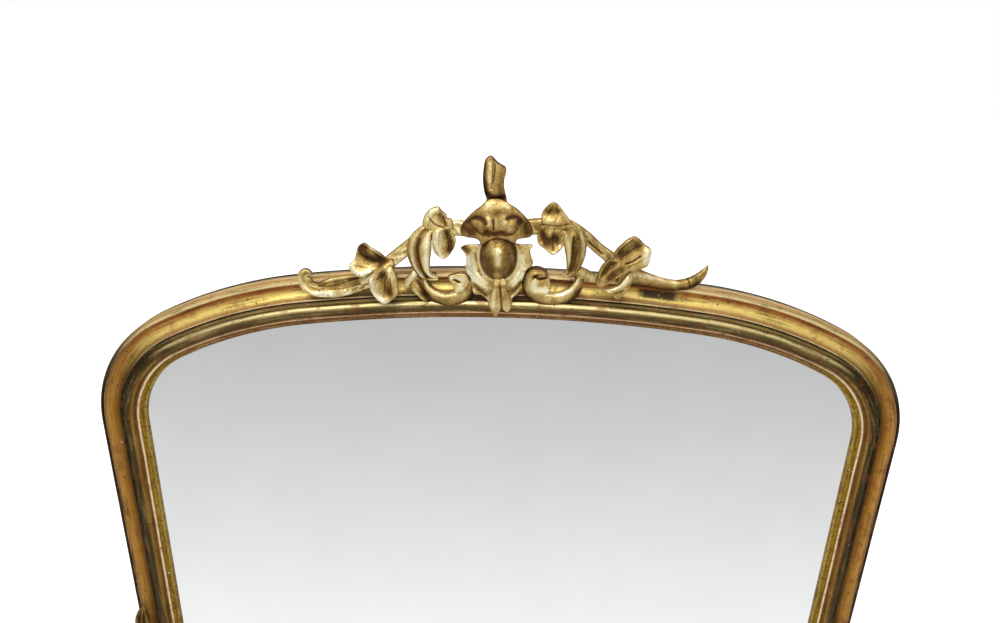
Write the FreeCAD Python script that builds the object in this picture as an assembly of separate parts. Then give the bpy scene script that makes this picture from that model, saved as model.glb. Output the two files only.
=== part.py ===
import FreeCAD, Part
import math
import os

# Arched overmantel mirror: a gilt moulded frame with a carved leaf crest, in millimetres.
# x runs to the right, z up, and the front faces -y. The origin is the centre of the frame's underside.
# A place across the moulding is given as u, inward from the outer side, and v, forward from the wall.

Vector = FreeCAD.Vector

# Frame
frame_width = 1220.0
frame_height = 1100.0
shoulder_radius = 194.0
haunch_radius = 638.0
crown_half_angle = math.radians(7.4)
haunch_turn = math.radians(19.6)

# Hollow moulding of the outer frame
side_depth = 23.0
lip_inset = 6.0
lip_width = 2.0
lip_height = 28.5
lip_round_share = 0.3
cove_width = 24.0
cove_floor = 19.5
cove_floor_share = 0.45
cove_edge_height = 31.0
cove_edge_width = 2.0
board_ledge_inset = 44.0
rebate_inset = 56.0

# Inner slip with the burnished round and the sight edge
slip_seat_height = 22.0
slip_gap = 0.4
slip_fillet_width = 5.0
round_width = 16.0
round_height = 39.0
hollow_width = 2.5
bead_width = 3.0
bead_height = 32.8
sight_width = 8.5
sight_edge_height = 26.0

# Mirror plate, glazing blocks and back boards
glass_thickness = 5.0
glass_clearance = 2.0
block_length = 40.0
block_width = 8.0
block_clearance = 0.2
blocks_per_stile = 4
blocks_on_rail = 5
block_end_share = 0.25
board_thickness = 9.0
board_count = 6
board_gap = 1.0
board_clearance = 0.5
board_screw_shares = (0.25, 0.75)

# Loose tongues in the frame's joints
tongue_length = 40.0
tongue_width = 18.0
tongue_thickness = 6.0
tongue_inset = 22.0
tongue_depth = 9.0
tongue_clearance = 0.2

# Slotted wood screws
screw_radius = 2.0
screw_head_radius = 4.0
screw_slot_width = 1.2
screw_slot_depth = 1.0
board_screw_length = 16.0
hanger_screw_length = 9.0
stay_screw_length = 15.0

# Hanging plates and rings
hanger_height = 720.0
hanger_inset = 22.0
plate_width = 20.0
plate_length = 50.0
plate_thickness = 1.6
plate_screw_margin = 12.0
ring_wire_radius = 2.0
ring_half_width = 15.0
ring_arm_length = 10.0
ring_clearance = 0.08
knuckle_wall = 1.4
knuckle_length = 16.0
recess_depth = 7.5
recess_clearance = 1.5

# How far a cutting shape runs past what it cuts
cut_over = 1.0
pocket_over = 5.0

# Crest: its outlines are drawn 570 units wide, from tail to tail
crest_width = 570.0
crest_unit = crest_width / 570
crest_offset = -9.5
seat_gap = 0.3
crest_plate_thickness = 8.5
stay_half_width = 16.0
stay_height = 70.0
stay_tongue_length = 40.0
stay_tongue_depth = 12.0
stay_clearance = 0.2
stay_screw_drops = (12.0, 30.0)
crest_screw_rises = (18.0, 52.0)
crest_screw_bite = 0.7
petal_height = 12.0
petal_foot_share = 0.7
petal_rim_share = 0.84
petal_dish_share = 0.4
petal_dish_depth = 6.5
cabochon_half_width = 24.0
cabochon_half_height = 31.0
cabochon_rise = 14.0
hood_thickness = 14.0
hood_crown_radius = 158.0
finial_thickness = 11.0
finial_crown_radius = 30.0
hood_eye_radius = 8.5
hood_eye_floor = 6.5

# Foot ornaments
foot_bracket_reach = 58.0
foot_bracket_height = 165.0
foot_bracket_toe = 0.55
foot_bracket_belly = 0.2
foot_bracket_heel = (0.62, 0.44)
foot_bracket_sweep = (0.24, 0.66)
foot_volute_radius = 36.0
foot_volute_place = 20.0
foot_volute_thickness = 25.0
foot_volute_dish_depth = 8.0
side_leaf_length = 420.0
side_leaf_unit = side_leaf_length / 420
corner_leaf_reach = 60.0
corner_leaf_unit = corner_leaf_reach / 60

# Worked out from the sizes above
wall_y = side_depth / 2
half_width = frame_width / 2
cove_edge_inset = lip_inset + lip_width + cove_width
slip_inset = cove_edge_inset + cove_edge_width + slip_gap
moulding_width = slip_inset + slip_fillet_width + round_width + hollow_width + bead_width + sight_width
arch_reach = half_width - shoulder_radius
arch_reach = arch_reach - (haunch_radius - shoulder_radius) * math.sin(crown_half_angle + haunch_turn)
crown_radius = haunch_radius + arch_reach / math.sin(crown_half_angle)
glass_inset = rebate_inset + glass_clearance
glass_back = slip_seat_height - glass_thickness
crest_back = round_height + seat_gap
crest_front = crest_back + crest_plate_thickness
tail_back = lip_height + seat_gap
scroll_back = cove_edge_height + seat_gap


def at(x, z, v):
    return Vector(x, wall_y - v, z)


def arc_centres():
    """Centres of the crown, haunch and shoulder arcs of the right half, as (x, z)."""
    crown = (0.0, frame_height - crown_radius)
    step = crown_radius - haunch_radius
    turn = crown_half_angle
    haunch = (crown[0] + step * math.sin(turn), crown[1] + step * math.cos(turn))
    step = haunch_radius - shoulder_radius
    turn = turn + haunch_turn
    shoulder = (haunch[0] + step * math.sin(turn), haunch[1] + step * math.cos(turn))
    return crown, haunch, shoulder


crown_centre, haunch_centre, shoulder_centre = arc_centres()
spring_height = shoulder_centre[1]
arch_arcs = (
    (crown_centre, crown_radius),
    (haunch_centre, haunch_radius),
    (shoulder_centre, shoulder_radius),
)


def on_arc(centre, radius, turn, v, side=1):
    """Point of an arc at an angle from the vertical; side -1 mirrors it to the left."""
    x = centre[0] + radius * math.sin(turn)
    return at(side * x, centre[1] + radius * math.cos(turn), v)


def arc_edge(centre, radius, start, end, v, side=1):
    middle = (start + end) / 2
    ends = [on_arc(centre, radius, turn, v, side) for turn in (start, middle, end)]
    return Part.Arc(*ends).toShape()


def line_edge(start, end):
    return Part.LineSegment(start, end).toShape()


def hollow_profile():
    """Outline of the outer frame's section: each step is a point, or an arc's middle and end."""
    lip_end = (lip_inset + lip_width, lip_height)
    cove_end = (cove_edge_inset, cove_edge_height)
    round_rise = (lip_height - side_depth) * (1 - lip_round_share)
    round_over = (lip_inset * lip_round_share, side_depth + round_rise)
    return [
        ((0, 0),),
        ((board_ledge_inset, 0),),
        ((board_ledge_inset, board_thickness),),
        ((rebate_inset, board_thickness),),
        ((rebate_inset, slip_seat_height),),
        ((slip_inset - slip_gap, slip_seat_height),),
        ((slip_inset - slip_gap, cove_edge_height),),
        (cove_end,),
        ((lip_end[0] + cove_width * cove_floor_share, cove_floor), lip_end),
        ((lip_inset, lip_height),),
        (round_over, (0, side_depth)),
    ]


def slip_profile():
    """Outline of the slip's section, from its seat on the outer frame to the sight edge."""
    round_start = slip_inset + slip_fillet_width
    round_end = round_start + round_width
    bead_start = round_end + hollow_width
    bead_end = bead_start + bead_width
    foot = cove_edge_height
    return [
        ((slip_inset, slip_seat_height),),
        ((moulding_width, slip_seat_height),),
        ((moulding_width, sight_edge_height),),
        ((bead_end, foot),),
        (((bead_start + bead_end) / 2, bead_height), (bead_start, foot)),
        ((round_end, foot),),
        (((round_start + round_end) / 2, round_height), (round_start, foot)),
        ((slip_inset, foot),),
    ]


def section(profile, place):
    """Face of a moulding's outline, with place turning (u, v) into a point."""
    edges = []
    here = place(*profile[0][-1])
    for step in profile[1:] + profile[:1]:
        there = place(*step[-1])
        if len(step) == 2:
            edges.append(Part.Arc(here, place(*step[0]), there).toShape())
        else:
            edges.append(line_edge(here, there))
        here = there
    return Part.Face(Part.Wire(edges))


def arched_member(profile, centre, radius, start, end, side=1):
    """Moulding turned about an arc's centre, between two angles from the vertical."""
    face = section(profile, lambda u, v: on_arc(centre, radius - u, start, v, side))
    axis_point = at(side * centre[0], centre[1], 0)
    return face.revolve(axis_point, Vector(0, side, 0), math.degrees(end - start))


def crown_member(profile):
    return arched_member(profile, crown_centre, crown_radius, -crown_half_angle, crown_half_angle)


def shoulder_member(profile, side):
    """Haunch and shoulder, sawn from one board."""
    turn = crown_half_angle + haunch_turn
    haunch = arched_member(profile, haunch_centre, haunch_radius, crown_half_angle, turn, side)
    shoulder = arched_member(profile, shoulder_centre, shoulder_radius, turn, math.pi / 2, side)
    return haunch.fuse(shoulder).removeSplitter()


def mitre_wedge(side, below):
    """Half of the corner square, cut along the mitre line, for trimming a rail or a stile."""
    size = moulding_width + cut_over
    corner = (half_width + cut_over, -cut_over)
    tip = (half_width - size, size)
    third = (tip[0], corner[1]) if below else (corner[0], tip[1])
    points = [at(side * x, z, -cut_over) for x, z in (corner, tip, third, corner)]
    depth = round_height + 2 * cut_over
    return Part.Face(Part.makePolygon(points)).extrude(Vector(0, -depth, 0))


def stile(profile, side):
    face = section(profile, lambda u, v: at(side * (half_width - u), 0, v))
    return face.extrude(Vector(0, 0, spring_height)).cut(mitre_wedge(side, True))


def bottom_member(profile):
    face = section(profile, lambda u, v: at(-half_width, u, v))
    rail = face.extrude(Vector(frame_width, 0, 0))
    return rail.cut([mitre_wedge(side, False) for side in (-1, 1)])


def box_at(centre, along, across, sizes):
    """Box about a point, with its sizes along a direction, across it and forward."""
    forward = Vector(0, -1, 0)
    length, width, depth = sizes
    corner = centre - along * (length / 2) - across * (width / 2) - forward * (depth / 2)
    far = corner + along * length
    points = [corner, far, far + across * width, corner + across * width]
    return Part.Face(Part.makePolygon(points + [corner])).extrude(forward * depth)


def tongue_seats():
    """Middle, direction along the frame and direction across it, at every joint."""
    seats = []
    middle = tongue_depth + tongue_thickness / 2
    for side in (-1, 1):
        turn = crown_half_angle
        centre = on_arc(crown_centre, crown_radius - tongue_inset, turn, middle, side)
        seats.append((centre, Vector(side * math.cos(turn), 0, -math.sin(turn))))
        centre = at(side * (half_width - tongue_inset), spring_height, middle)
        seats.append((centre, Vector(0, 0, 1)))
        centre = at(side * (half_width - tongue_inset), tongue_inset, middle)
        seats.append((centre, Vector(side, 0, 1).normalize()))
    return seats


def tongues(clearance=0.0):
    sizes = [size + 2 * clearance for size in (tongue_length, tongue_width, tongue_thickness)]
    bars = []
    for centre, along in tongue_seats():
        across = along.cross(Vector(0, 1, 0))
        bars.append(box_at(centre, along, across, sizes))
    return bars


def screw_body(x, z, v, length, forward=1):
    """Countersunk screw with its head flush at depth v, pointing at the front."""
    sink = screw_head_radius - screw_radius
    direction = Vector(0, -forward, 0)
    head = Part.makeCone(screw_head_radius, screw_radius, sink, at(x, z, v), direction)
    shank = Part.makeCylinder(screw_radius, length - sink, at(x, z, v + forward * sink), direction)
    return head.fuse(shank).removeSplitter()


def slotted(body):
    """The screw with the driver's slot across its head, which faces the wall."""
    box = body.BoundBox
    centre = Vector((box.XMin + box.XMax) / 2, box.YMax - screw_slot_depth / 2, (box.ZMin + box.ZMax) / 2)
    sizes = (3 * screw_head_radius, screw_slot_width, screw_slot_depth)
    return body.cut(box_at(centre, Vector(1, 0, 0), Vector(0, 0, 1), sizes))


def cut_by(shape, tools):
    """The shape less the tools whose boxes meet its own."""
    near = [tool for tool in tools if shape.BoundBox.intersect(tool.BoundBox)]
    return shape.cut(near) if near else shape


def inset_wire(inset, v):
    """Closed outline of the opening at an inset from the outer side."""
    turns = (0.0, crown_half_angle, crown_half_angle + haunch_turn, math.pi / 2)
    edges = []
    for side in (-1, 1):
        for (centre, radius), start, end in zip(arch_arcs, turns, turns[1:]):
            edges.append(arc_edge(centre, radius - inset, start, end, v, side))
        foot = at(side * (half_width - inset), inset, v)
        edges.append(line_edge(at(side * (half_width - inset), spring_height, v), foot))
    edges.append(line_edge(at(inset - half_width, inset, v), at(half_width - inset, inset, v)))
    return Part.Wire(Part.__sortEdges__(edges))


def mirror_plate():
    return Part.Face(inset_wire(glass_inset, glass_back)).extrude(Vector(0, -glass_thickness, 0))


def glazing_blocks():
    """Small wedging blocks glued round the rebate behind the glass."""
    depth = glass_back - board_thickness - 2 * block_clearance
    middle = board_thickness + block_clearance + depth / 2
    inset = rebate_inset + block_clearance + block_width / 2
    sizes = (block_length, block_width, depth)
    right, up = Vector(1, 0, 0), Vector(0, 0, 1)
    blocks = []
    for index in range(blocks_per_stile):
        share = (index + 0.5 + block_end_share) / (blocks_per_stile + 2 * block_end_share)
        z = spring_height * share
        for side in (-1, 1):
            blocks.append(box_at(at(side * (half_width - inset), z, middle), up, right, sizes))
    for index in range(blocks_on_rail):
        x = (half_width - inset) * (2 * (index + 1) / (blocks_on_rail + 1) - 1)
        blocks.append(box_at(at(x, inset, middle), right, up, sizes))
    for side in (-1, 1):
        turn = side * crown_half_angle / 2
        along = Vector(math.cos(turn), 0, -math.sin(turn))
        centre = on_arc(crown_centre, crown_radius - inset, turn, middle)
        blocks.append(box_at(centre, along, along.cross(Vector(0, 1, 0)), sizes))
    return blocks


def inset_reach(inset, z):
    """Half width of the opening at a height, at an inset from the outer side."""
    if z <= spring_height:
        return half_width - inset
    lowest_turns = (crown_half_angle + haunch_turn, crown_half_angle, 0.0)
    for (centre, radius), lowest in zip(reversed(arch_arcs), lowest_turns):
        turn = math.acos(min(1.0, (z - centre[1]) / (radius - inset)))
        if turn >= lowest:
            return centre[0] + (radius - inset) * math.sin(turn)
    return 0.0


def board_edges():
    """Heights where one back board ends and the next begins."""
    low = board_ledge_inset + board_clearance
    high = frame_height - low
    return [low + (high - low) * index / board_count for index in range(board_count + 1)]


def board_screw_bodies():
    """Two screws through each end of every back board, into the frame's ledge."""
    inset = (board_ledge_inset + rebate_inset) / 2
    heights = board_edges()
    bodies = []
    for low, high in zip(heights, heights[1:]):
        for share in board_screw_shares:
            z = low + (high - low) * share
            for side in (-1, 1):
                bodies.append(screw_body(side * inset_reach(inset, z), z, 0, board_screw_length))
    return bodies


def back_boards(screws):
    """Pine boards across the back, with the arch of the frame on the top ones."""
    outline = inset_wire(board_ledge_inset + board_clearance, 0)
    panel = Part.Face(outline).extrude(Vector(0, -board_thickness, 0))
    heights = board_edges()
    boards = []
    for low, high in zip(heights, heights[1:]):
        slab = Part.makeBox(frame_width, 4 * board_thickness, high - low - board_gap)
        slab.translate(at(-half_width, low + board_gap / 2, 3 * board_thickness))
        boards.append(cut_by(panel.common(slab), screws))
    return boards


def d_section(centre, along, width, height):
    """Leaf section with a flat back and an arched front, square to a direction in the frame's plane."""
    across = along.cross(Vector(0, 1, 0)) * (width / 2)
    crown = centre + Vector(0, -height, 0)
    back = line_edge(centre - across, centre + across)
    front = Part.Arc(centre + across, crown, centre - across).toShape()
    return Part.Wire([back, front])


def leaf(stations, back):
    """Tapering leaf through stations of x, z, width and height, with a flat back at depth v."""
    points = [at(x, z, back) for x, z, width, height in stations]
    sections = []
    for index, (x, z, width, height) in enumerate(stations):
        before = points[max(index - 1, 0)]
        after = points[min(index + 1, len(points) - 1)]
        sections.append(d_section(points[index], (after - before).normalize(), width, height))
    return Part.makeLoft(sections, True, False)


def outline_wire(points, v):
    """Smooth closed outline through points (x, z), at depth v."""
    curve = Part.BSplineCurve()
    curve.interpolate([at(x, z, v) for x, z in points], PeriodicFlag=True)
    return Part.Wire(curve.toShape())


def shrunk(points, share):
    """The outline drawn in towards the mean of its points."""
    middle_x = sum(x for x, z in points) / len(points)
    middle_z = sum(z for x, z in points) / len(points)
    return [(middle_x + (x - middle_x) * share, middle_z + (z - middle_z) * share) for x, z in points]


def cup(points, back, low_share, front, high_share):
    """Flared solid between two depths, with the outline drawn in by a share at each."""
    low = outline_wire(shrunk(points, low_share), back)
    high = outline_wire(shrunk(points, high_share), front)
    return Part.makeLoft([low, high], True, True)


def lobes(outlines, back, height=petal_height):
    """Dished lobes that grow together: each is a flared cup with a raised rim."""
    front = back + height
    solids = [cup(points, back, petal_foot_share, front, 1.0) for points in outlines]
    slope = (petal_rim_share - petal_dish_share) / petal_dish_depth
    rim = petal_rim_share + slope * cut_over
    floor = front - petal_dish_depth
    dishes = [cup(points, floor, petal_dish_share, front + cut_over, rim) for points in outlines]
    body = solids[0].fuse(solids[1:]) if len(solids) > 1 else solids[0]
    return body.cut(dishes)


def round_points(x, z, radius):
    """Points of a round outline."""
    count = 12
    turns = [2 * math.pi * index / count for index in range(count)]
    return [(x + radius * math.cos(turn), z + radius * math.sin(turn)) for turn in turns]


def on_crest(places):
    """Places drawn from the crest's middle at the frame's top, in the frame's own sizes."""
    sized = [[crest_unit * value for value in place] for place in places]
    return [(place[0] + crest_offset, place[1] + frame_height, *place[2:]) for place in sized]


def crest_plate():
    """Flat core of the cartouche, with a neck up behind the hood and the finial."""
    outline = [
        (2, -40), (18, -31), (26, -16), (32, -4), (34, 8), (45, 17), (46, 30), (45, 44), (36, 47),
        (38, 58), (38, 84), (26, 86), (10, 97), (2, 104), (2, 126), (-15, 126), (-15, 104),
        (-20, 97), (-38, 82), (-44, 76), (-44, 54), (-40, 47), (-52, 40), (-47, 27), (-45, 3),
        (-37, -2), (-31, -20), (-15, -37),
    ]
    points = [at(x, z, crest_back) for x, z in on_crest(outline)]
    plate = Part.Face(Part.makePolygon(points + points[:1]))
    return plate.extrude(Vector(0, -crest_plate_thickness, 0))


def hood():
    """Crowned shield over the cartouche, with two sunk volute eyes."""
    right = [(10, 103), (33, 88), (43, 72), (41, 57), (20, 53)]
    left = [(-28, 50), (-50, 55), (-51, 69), (-45, 83), (-21, 103)]
    points = [at(x, z, crest_front) for x, z in on_crest(right + left)]
    shield = Part.Face(Part.makePolygon(points + points[:1])).extrude(Vector(0, -hood_thickness, 0))
    x, z = on_crest([(-6, 76)])[0]
    ball_centre = at(x, z, crest_front + hood_thickness - hood_crown_radius)
    shield = shield.common(Part.makeSphere(hood_crown_radius, ball_centre))
    eyes = []
    for x, z in on_crest([(-25, 72), (15, 74)]):
        foot = at(x, z, crest_front + hood_eye_floor)
        eyes.append(Part.makeCylinder(hood_eye_radius, hood_thickness, foot, Vector(0, -1, 0)))
    return shield.cut(eyes)


def cabochon():
    """Oval dome at the middle of the cartouche."""
    dome = Part.makeSphere(1.0, Vector(0, 0, 0), Vector(0, -1, 0), 0, 90, 360)
    stretch = FreeCAD.Matrix()
    stretch.scale(cabochon_half_width, cabochon_rise, cabochon_half_height)
    dome = dome.transformGeometry(stretch)
    x, z = on_crest([(-1, 27)])[0]
    dome.translate(at(x, z, crest_front))
    return dome


def finial():
    """Upright leaf over the hood, with a rounded front and a broken slope at its top."""
    outline = [
        (7, 104), (5, 118), (3, 134), (6, 144), (6, 151), (-2, 153), (-9, 159), (-15, 165),
        (-22, 159), (-24, 150), (-25, 132), (-20, 104),
    ]
    points = [at(x, z, crest_front) for x, z in on_crest(outline)]
    slab = Part.Face(Part.makePolygon(points + points[:1])).extrude(Vector(0, -finial_thickness, 0))
    x, z = on_crest([(-9, 100)])[0]
    axis_foot = at(x, z, crest_front + finial_thickness - finial_crown_radius)
    return slab.common(Part.makeCylinder(finial_crown_radius, frame_height, axis_foot, Vector(0, 0, 1)))


def pendant():
    """Two-lobed leaf hanging from the cartouche over the slip."""
    long_lobe = [(-3, -14, 15, 7), (-3, -34, 16, 7.5), (-3, -49, 11, 5), (-3, -60, 3, 1.2)]
    short_lobe = [(9, -14, 15, 7), (11, -30, 14, 6.5), (13, -42, 10, 4.5), (14, -51, 3, 1.2)]
    lobes = [leaf(on_crest(stations), crest_front) for stations in (long_lobe, short_lobe)]
    return lobes[0].fuse(lobes[1])


def scroll(band, curls, volute):
    """Scroll at the crest's foot: a band into a dished volute, with leaflets at its far end."""
    solids = [leaf(on_crest(stations), scroll_back) for stations in [band] + curls]
    solids.append(lobes([on_crest(round_points(*volute))], scroll_back, crest_front - scroll_back))
    return solids[0].fuse(solids[1:])


def left_scroll():
    band = [(-108, -5, 10, 4.8), (-101, -18, 18, 8.5), (-84, -24, 22, 10.5), (-66, -26, 23, 11),
            (-54, -16, 21, 10)]
    curls = [
        [(-133, 3, 6, 2.8), (-126, -7, 14, 6.5), (-113, -21, 6, 2.8)],
        [(-119, -8, 8, 3.8), (-111, -19, 16, 7.5), (-98, -34, 6, 2.8)],
    ]
    return scroll(band, curls, (-52, -12, 17))


def right_scroll():
    band = [(106, 0, 10, 4.8), (100, -16, 19, 9), (84, -24, 23, 11), (66, -19, 23, 11), (56, -8, 20, 9.5)]
    curls = [[(101, 5, 10, 4.8), (112, 6, 18, 8.5), (128, -1, 17, 8), (142, -6, 8, 3.8)]]
    return scroll(band, curls, (52, -5, 19))


def spray_stem(stations):
    """Flat arched stem from the cartouche out to the leaves of one side."""
    return leaf(on_crest(stations), crest_back)


def crest_stay():
    """Pine post behind the crest, with a tongue let into the back of the crown rail."""
    middle = crest_offset
    post = box_at(
        at(middle, frame_height + (stay_clearance + stay_height) / 2, crest_back / 2),
        Vector(0, 0, 1), Vector(1, 0, 0), (stay_height - stay_clearance, 2 * stay_half_width, crest_back))
    tongue_rise = stay_tongue_length + stay_clearance
    tongue = box_at(
        at(middle, frame_height - tongue_rise / 2 + stay_clearance, stay_tongue_depth / 2),
        Vector(0, 0, 1), Vector(1, 0, 0), (tongue_rise, 2 * stay_half_width, stay_tongue_depth))
    return post.fuse(tongue).removeSplitter()


def stay_housing():
    """Space for the stay's tongue in the crown rail."""
    over = pocket_over
    rise = stay_tongue_length + stay_clearance + over
    depth = stay_tongue_depth + stay_clearance
    centre = at(crest_offset, frame_height + over - rise / 2, (depth - over) / 2)
    sizes = (rise, 2 * (stay_half_width + stay_clearance), depth + over)
    return box_at(centre, Vector(0, 0, 1), Vector(1, 0, 0), sizes)


def stay_screw_bodies():
    length = stay_screw_length
    return [screw_body(crest_offset, frame_height - drop, 0, length) for drop in stay_screw_drops]


def crest_screw_bodies():
    """Long screws through the stay into the cartouche's core."""
    length = crest_back + crest_plate_thickness * crest_screw_bite
    return [screw_body(crest_offset, frame_height + rise, 0, length) for rise in crest_screw_rises]


def knuckle_depth():
    """Depth of the ring's pivot, with the knuckle resting on the recess floor."""
    return recess_depth - ring_wire_radius - ring_clearance - knuckle_wall


def hanger_x(side):
    return side * (half_width - hanger_inset)


def hanger_screw_bodies(side):
    rises = (plate_screw_margin, plate_length - plate_screw_margin)
    floor = recess_depth - plate_thickness
    return [screw_body(hanger_x(side), hanger_height + rise, floor, hanger_screw_length) for rise in rises]


def hanger_plate(side):
    """Steel plate with a rolled knuckle at its lower end, screwed to the recess floor."""
    x = hanger_x(side)
    middle = recess_depth - plate_thickness / 2
    plate = box_at(
        at(x, hanger_height + plate_length / 2, middle),
        Vector(0, 0, 1), Vector(1, 0, 0), (plate_length, plate_width, plate_thickness))
    bore = ring_wire_radius + ring_clearance
    start = at(x - knuckle_length / 2, hanger_height, knuckle_depth())
    outside = Part.makeCylinder(bore + knuckle_wall, knuckle_length, start, Vector(1, 0, 0))
    edge = at(x - plate_width, hanger_height, knuckle_depth())
    inside = Part.makeCylinder(bore, 2 * plate_width, edge, Vector(1, 0, 0))
    return plate.fuse(outside).cut([inside] + hanger_screw_bodies(side)).removeSplitter()


def hanging_ring(side):
    """D-shaped wire ring: a straight bar in the knuckle, two arms and a half round."""
    x = hanger_x(side)
    depth = knuckle_depth()
    half = ring_half_width
    low = hanger_height - ring_arm_length
    left, right = at(x - half, hanger_height, depth), at(x + half, hanger_height, depth)
    bar = Part.makeCylinder(ring_wire_radius, 2 * half, left, Vector(1, 0, 0))
    down = Vector(0, 0, -1)
    arms = [Part.makeCylinder(ring_wire_radius, ring_arm_length, top, down) for top in (left, right)]
    corners = [Part.makeSphere(ring_wire_radius, top) for top in (left, right)]
    wire = Part.Wire(Part.makeCircle(ring_wire_radius, at(x + half, low, depth), Vector(0, 0, 1)))
    bow = Part.Face(wire).revolve(at(x, low, depth), Vector(0, 1, 0), 180)
    return bar.fuse(arms + corners + [bow]).removeSplitter()


def hanger_recess(side):
    """Pocket in the stile's back, so that plate and ring lie below the wall face."""
    over = pocket_over
    reach = ring_half_width + ring_wire_radius + recess_clearance
    low = hanger_height - ring_arm_length - reach
    high = hanger_height + plate_length + recess_clearance
    centre = at(hanger_x(side), (low + high) / 2, (recess_depth - over) / 2)
    return box_at(centre, Vector(0, 0, 1), Vector(1, 0, 0), (high - low, 2 * reach, recess_depth + over))


def beside_frame(places, side):
    """Places with x measured outward from the frame's outer side, for the left or the right."""
    return [(side * (half_width + place[0]),) + tuple(place[1:]) for place in places]


def foot_bracket(side):
    """Scrolled ear on the shelf beside the stile, glued to the frame's side."""
    reach, height = foot_bracket_reach, foot_bracket_height
    corner = at(side * half_width, 0, 0)
    top = at(side * half_width, height, 0)
    toe = at(side * (half_width + reach * foot_bracket_toe), 0, 0)
    heel = at(side * (half_width + reach * foot_bracket_heel[0]), height * foot_bracket_heel[1], 0)
    belly = at(side * (half_width + reach), height * foot_bracket_belly, 0)
    sweep = at(side * (half_width + reach * foot_bracket_sweep[0]), height * foot_bracket_sweep[1], 0)
    edges = [
        line_edge(corner, toe),
        Part.Arc(toe, belly, heel).toShape(),
        Part.Arc(heel, sweep, top).toShape(),
        line_edge(top, corner),
    ]
    return Part.Face(Part.Wire(edges)).extrude(Vector(0, -lip_height, 0))


def foot_volute(side):
    """Dished round volute in front of the bracket, standing on the shelf."""
    x = side * (half_width + foot_volute_place)
    radius = foot_volute_radius
    front = tail_back + foot_volute_thickness
    forward = Vector(0, -1, 0)
    drum = Part.makeCylinder(radius, foot_volute_thickness, at(x, radius, tail_back), forward)
    floor = at(x, radius, front - foot_volute_dish_depth)
    low, high = radius * petal_dish_share, radius * petal_rim_share
    return drum.cut(Part.makeCone(low, high, foot_volute_dish_depth, floor, forward))


def side_leaf(side):
    """Long leaf up the stile's edge, from the volute to a point at half height."""
    top = 2 * foot_volute_radius + seat_gap
    stations = [
        (-13, 420, 3, 1.2), (-8, 400, 20, 7), (-6, 380, 27, 9), (-4, 340, 29, 10), (2, 270, 33, 11),
        (11, 190, 37, 12), (20, 110, 38, 12), (24, 50, 33, 11), (20, 0, 22, 9),
    ]
    sized = [[side_leaf_unit * value for value in station] for station in stations]
    raised = [(x, z + top, width, height) for x, z, width, height in sized]
    return leaf(beside_frame(raised, side), tail_back)


def corner_leaf(side):
    """Three dished lobes over the mitre of the slip."""
    middle = slip_inset + slip_fillet_width + round_width / 2
    heart = [(-18, -18), (0, -20), (17, 0), (19, 18), (0, 17), (-20, 0)]
    along = [(8, -20), (30, -24), (54, -20), (60, -10), (48, 2), (26, 2), (8, -6)]
    upward = [(z, x) for x, z in along]
    outlines = []
    for points in (heart, along, upward):
        sized = [(corner_leaf_unit * x, corner_leaf_unit * z) for x, z in points]
        outlines.append([(side * (half_width - middle - x), middle + z) for x, z in sized])
    return lobes(outlines, crest_back)


def frame_nodes():
    """Outer frame, slip, tongues, mirror, blocks, boards and their screws."""
    board_screws = board_screw_bodies()
    slots = tongues(tongue_clearance)
    hanger_cuts = []
    for side in (-1, 1):
        hanger_cuts += [hanger_recess(side)] + hanger_screw_bodies(side)
    cuts = board_screws + slots + hanger_cuts + [stay_housing()] + stay_screw_bodies()
    nodes = {}
    for name, profile in (("frame", hollow_profile()), ("slip", slip_profile())):
        members = {"crown": crown_member(profile), "bottom": bottom_member(profile)}
        for word, side in (("left", -1), ("right", 1)):
            members[word + "_shoulder"] = shoulder_member(profile, side)
            members[word + "_stile"] = stile(profile, side)
        for member, shape in members.items():
            nodes[name + "_" + member] = cut_by(shape, cuts) if name == "frame" else shape
    nodes["joint_tongues"] = tongues()
    nodes["mirror_plate"] = mirror_plate()
    nodes["glazing_blocks"] = glazing_blocks()
    for index, board in enumerate(back_boards(board_screws)):
        nodes["back_board_%d" % (index + 1)] = board
    nodes["board_screws"] = [slotted(body) for body in board_screws]
    return nodes


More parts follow.
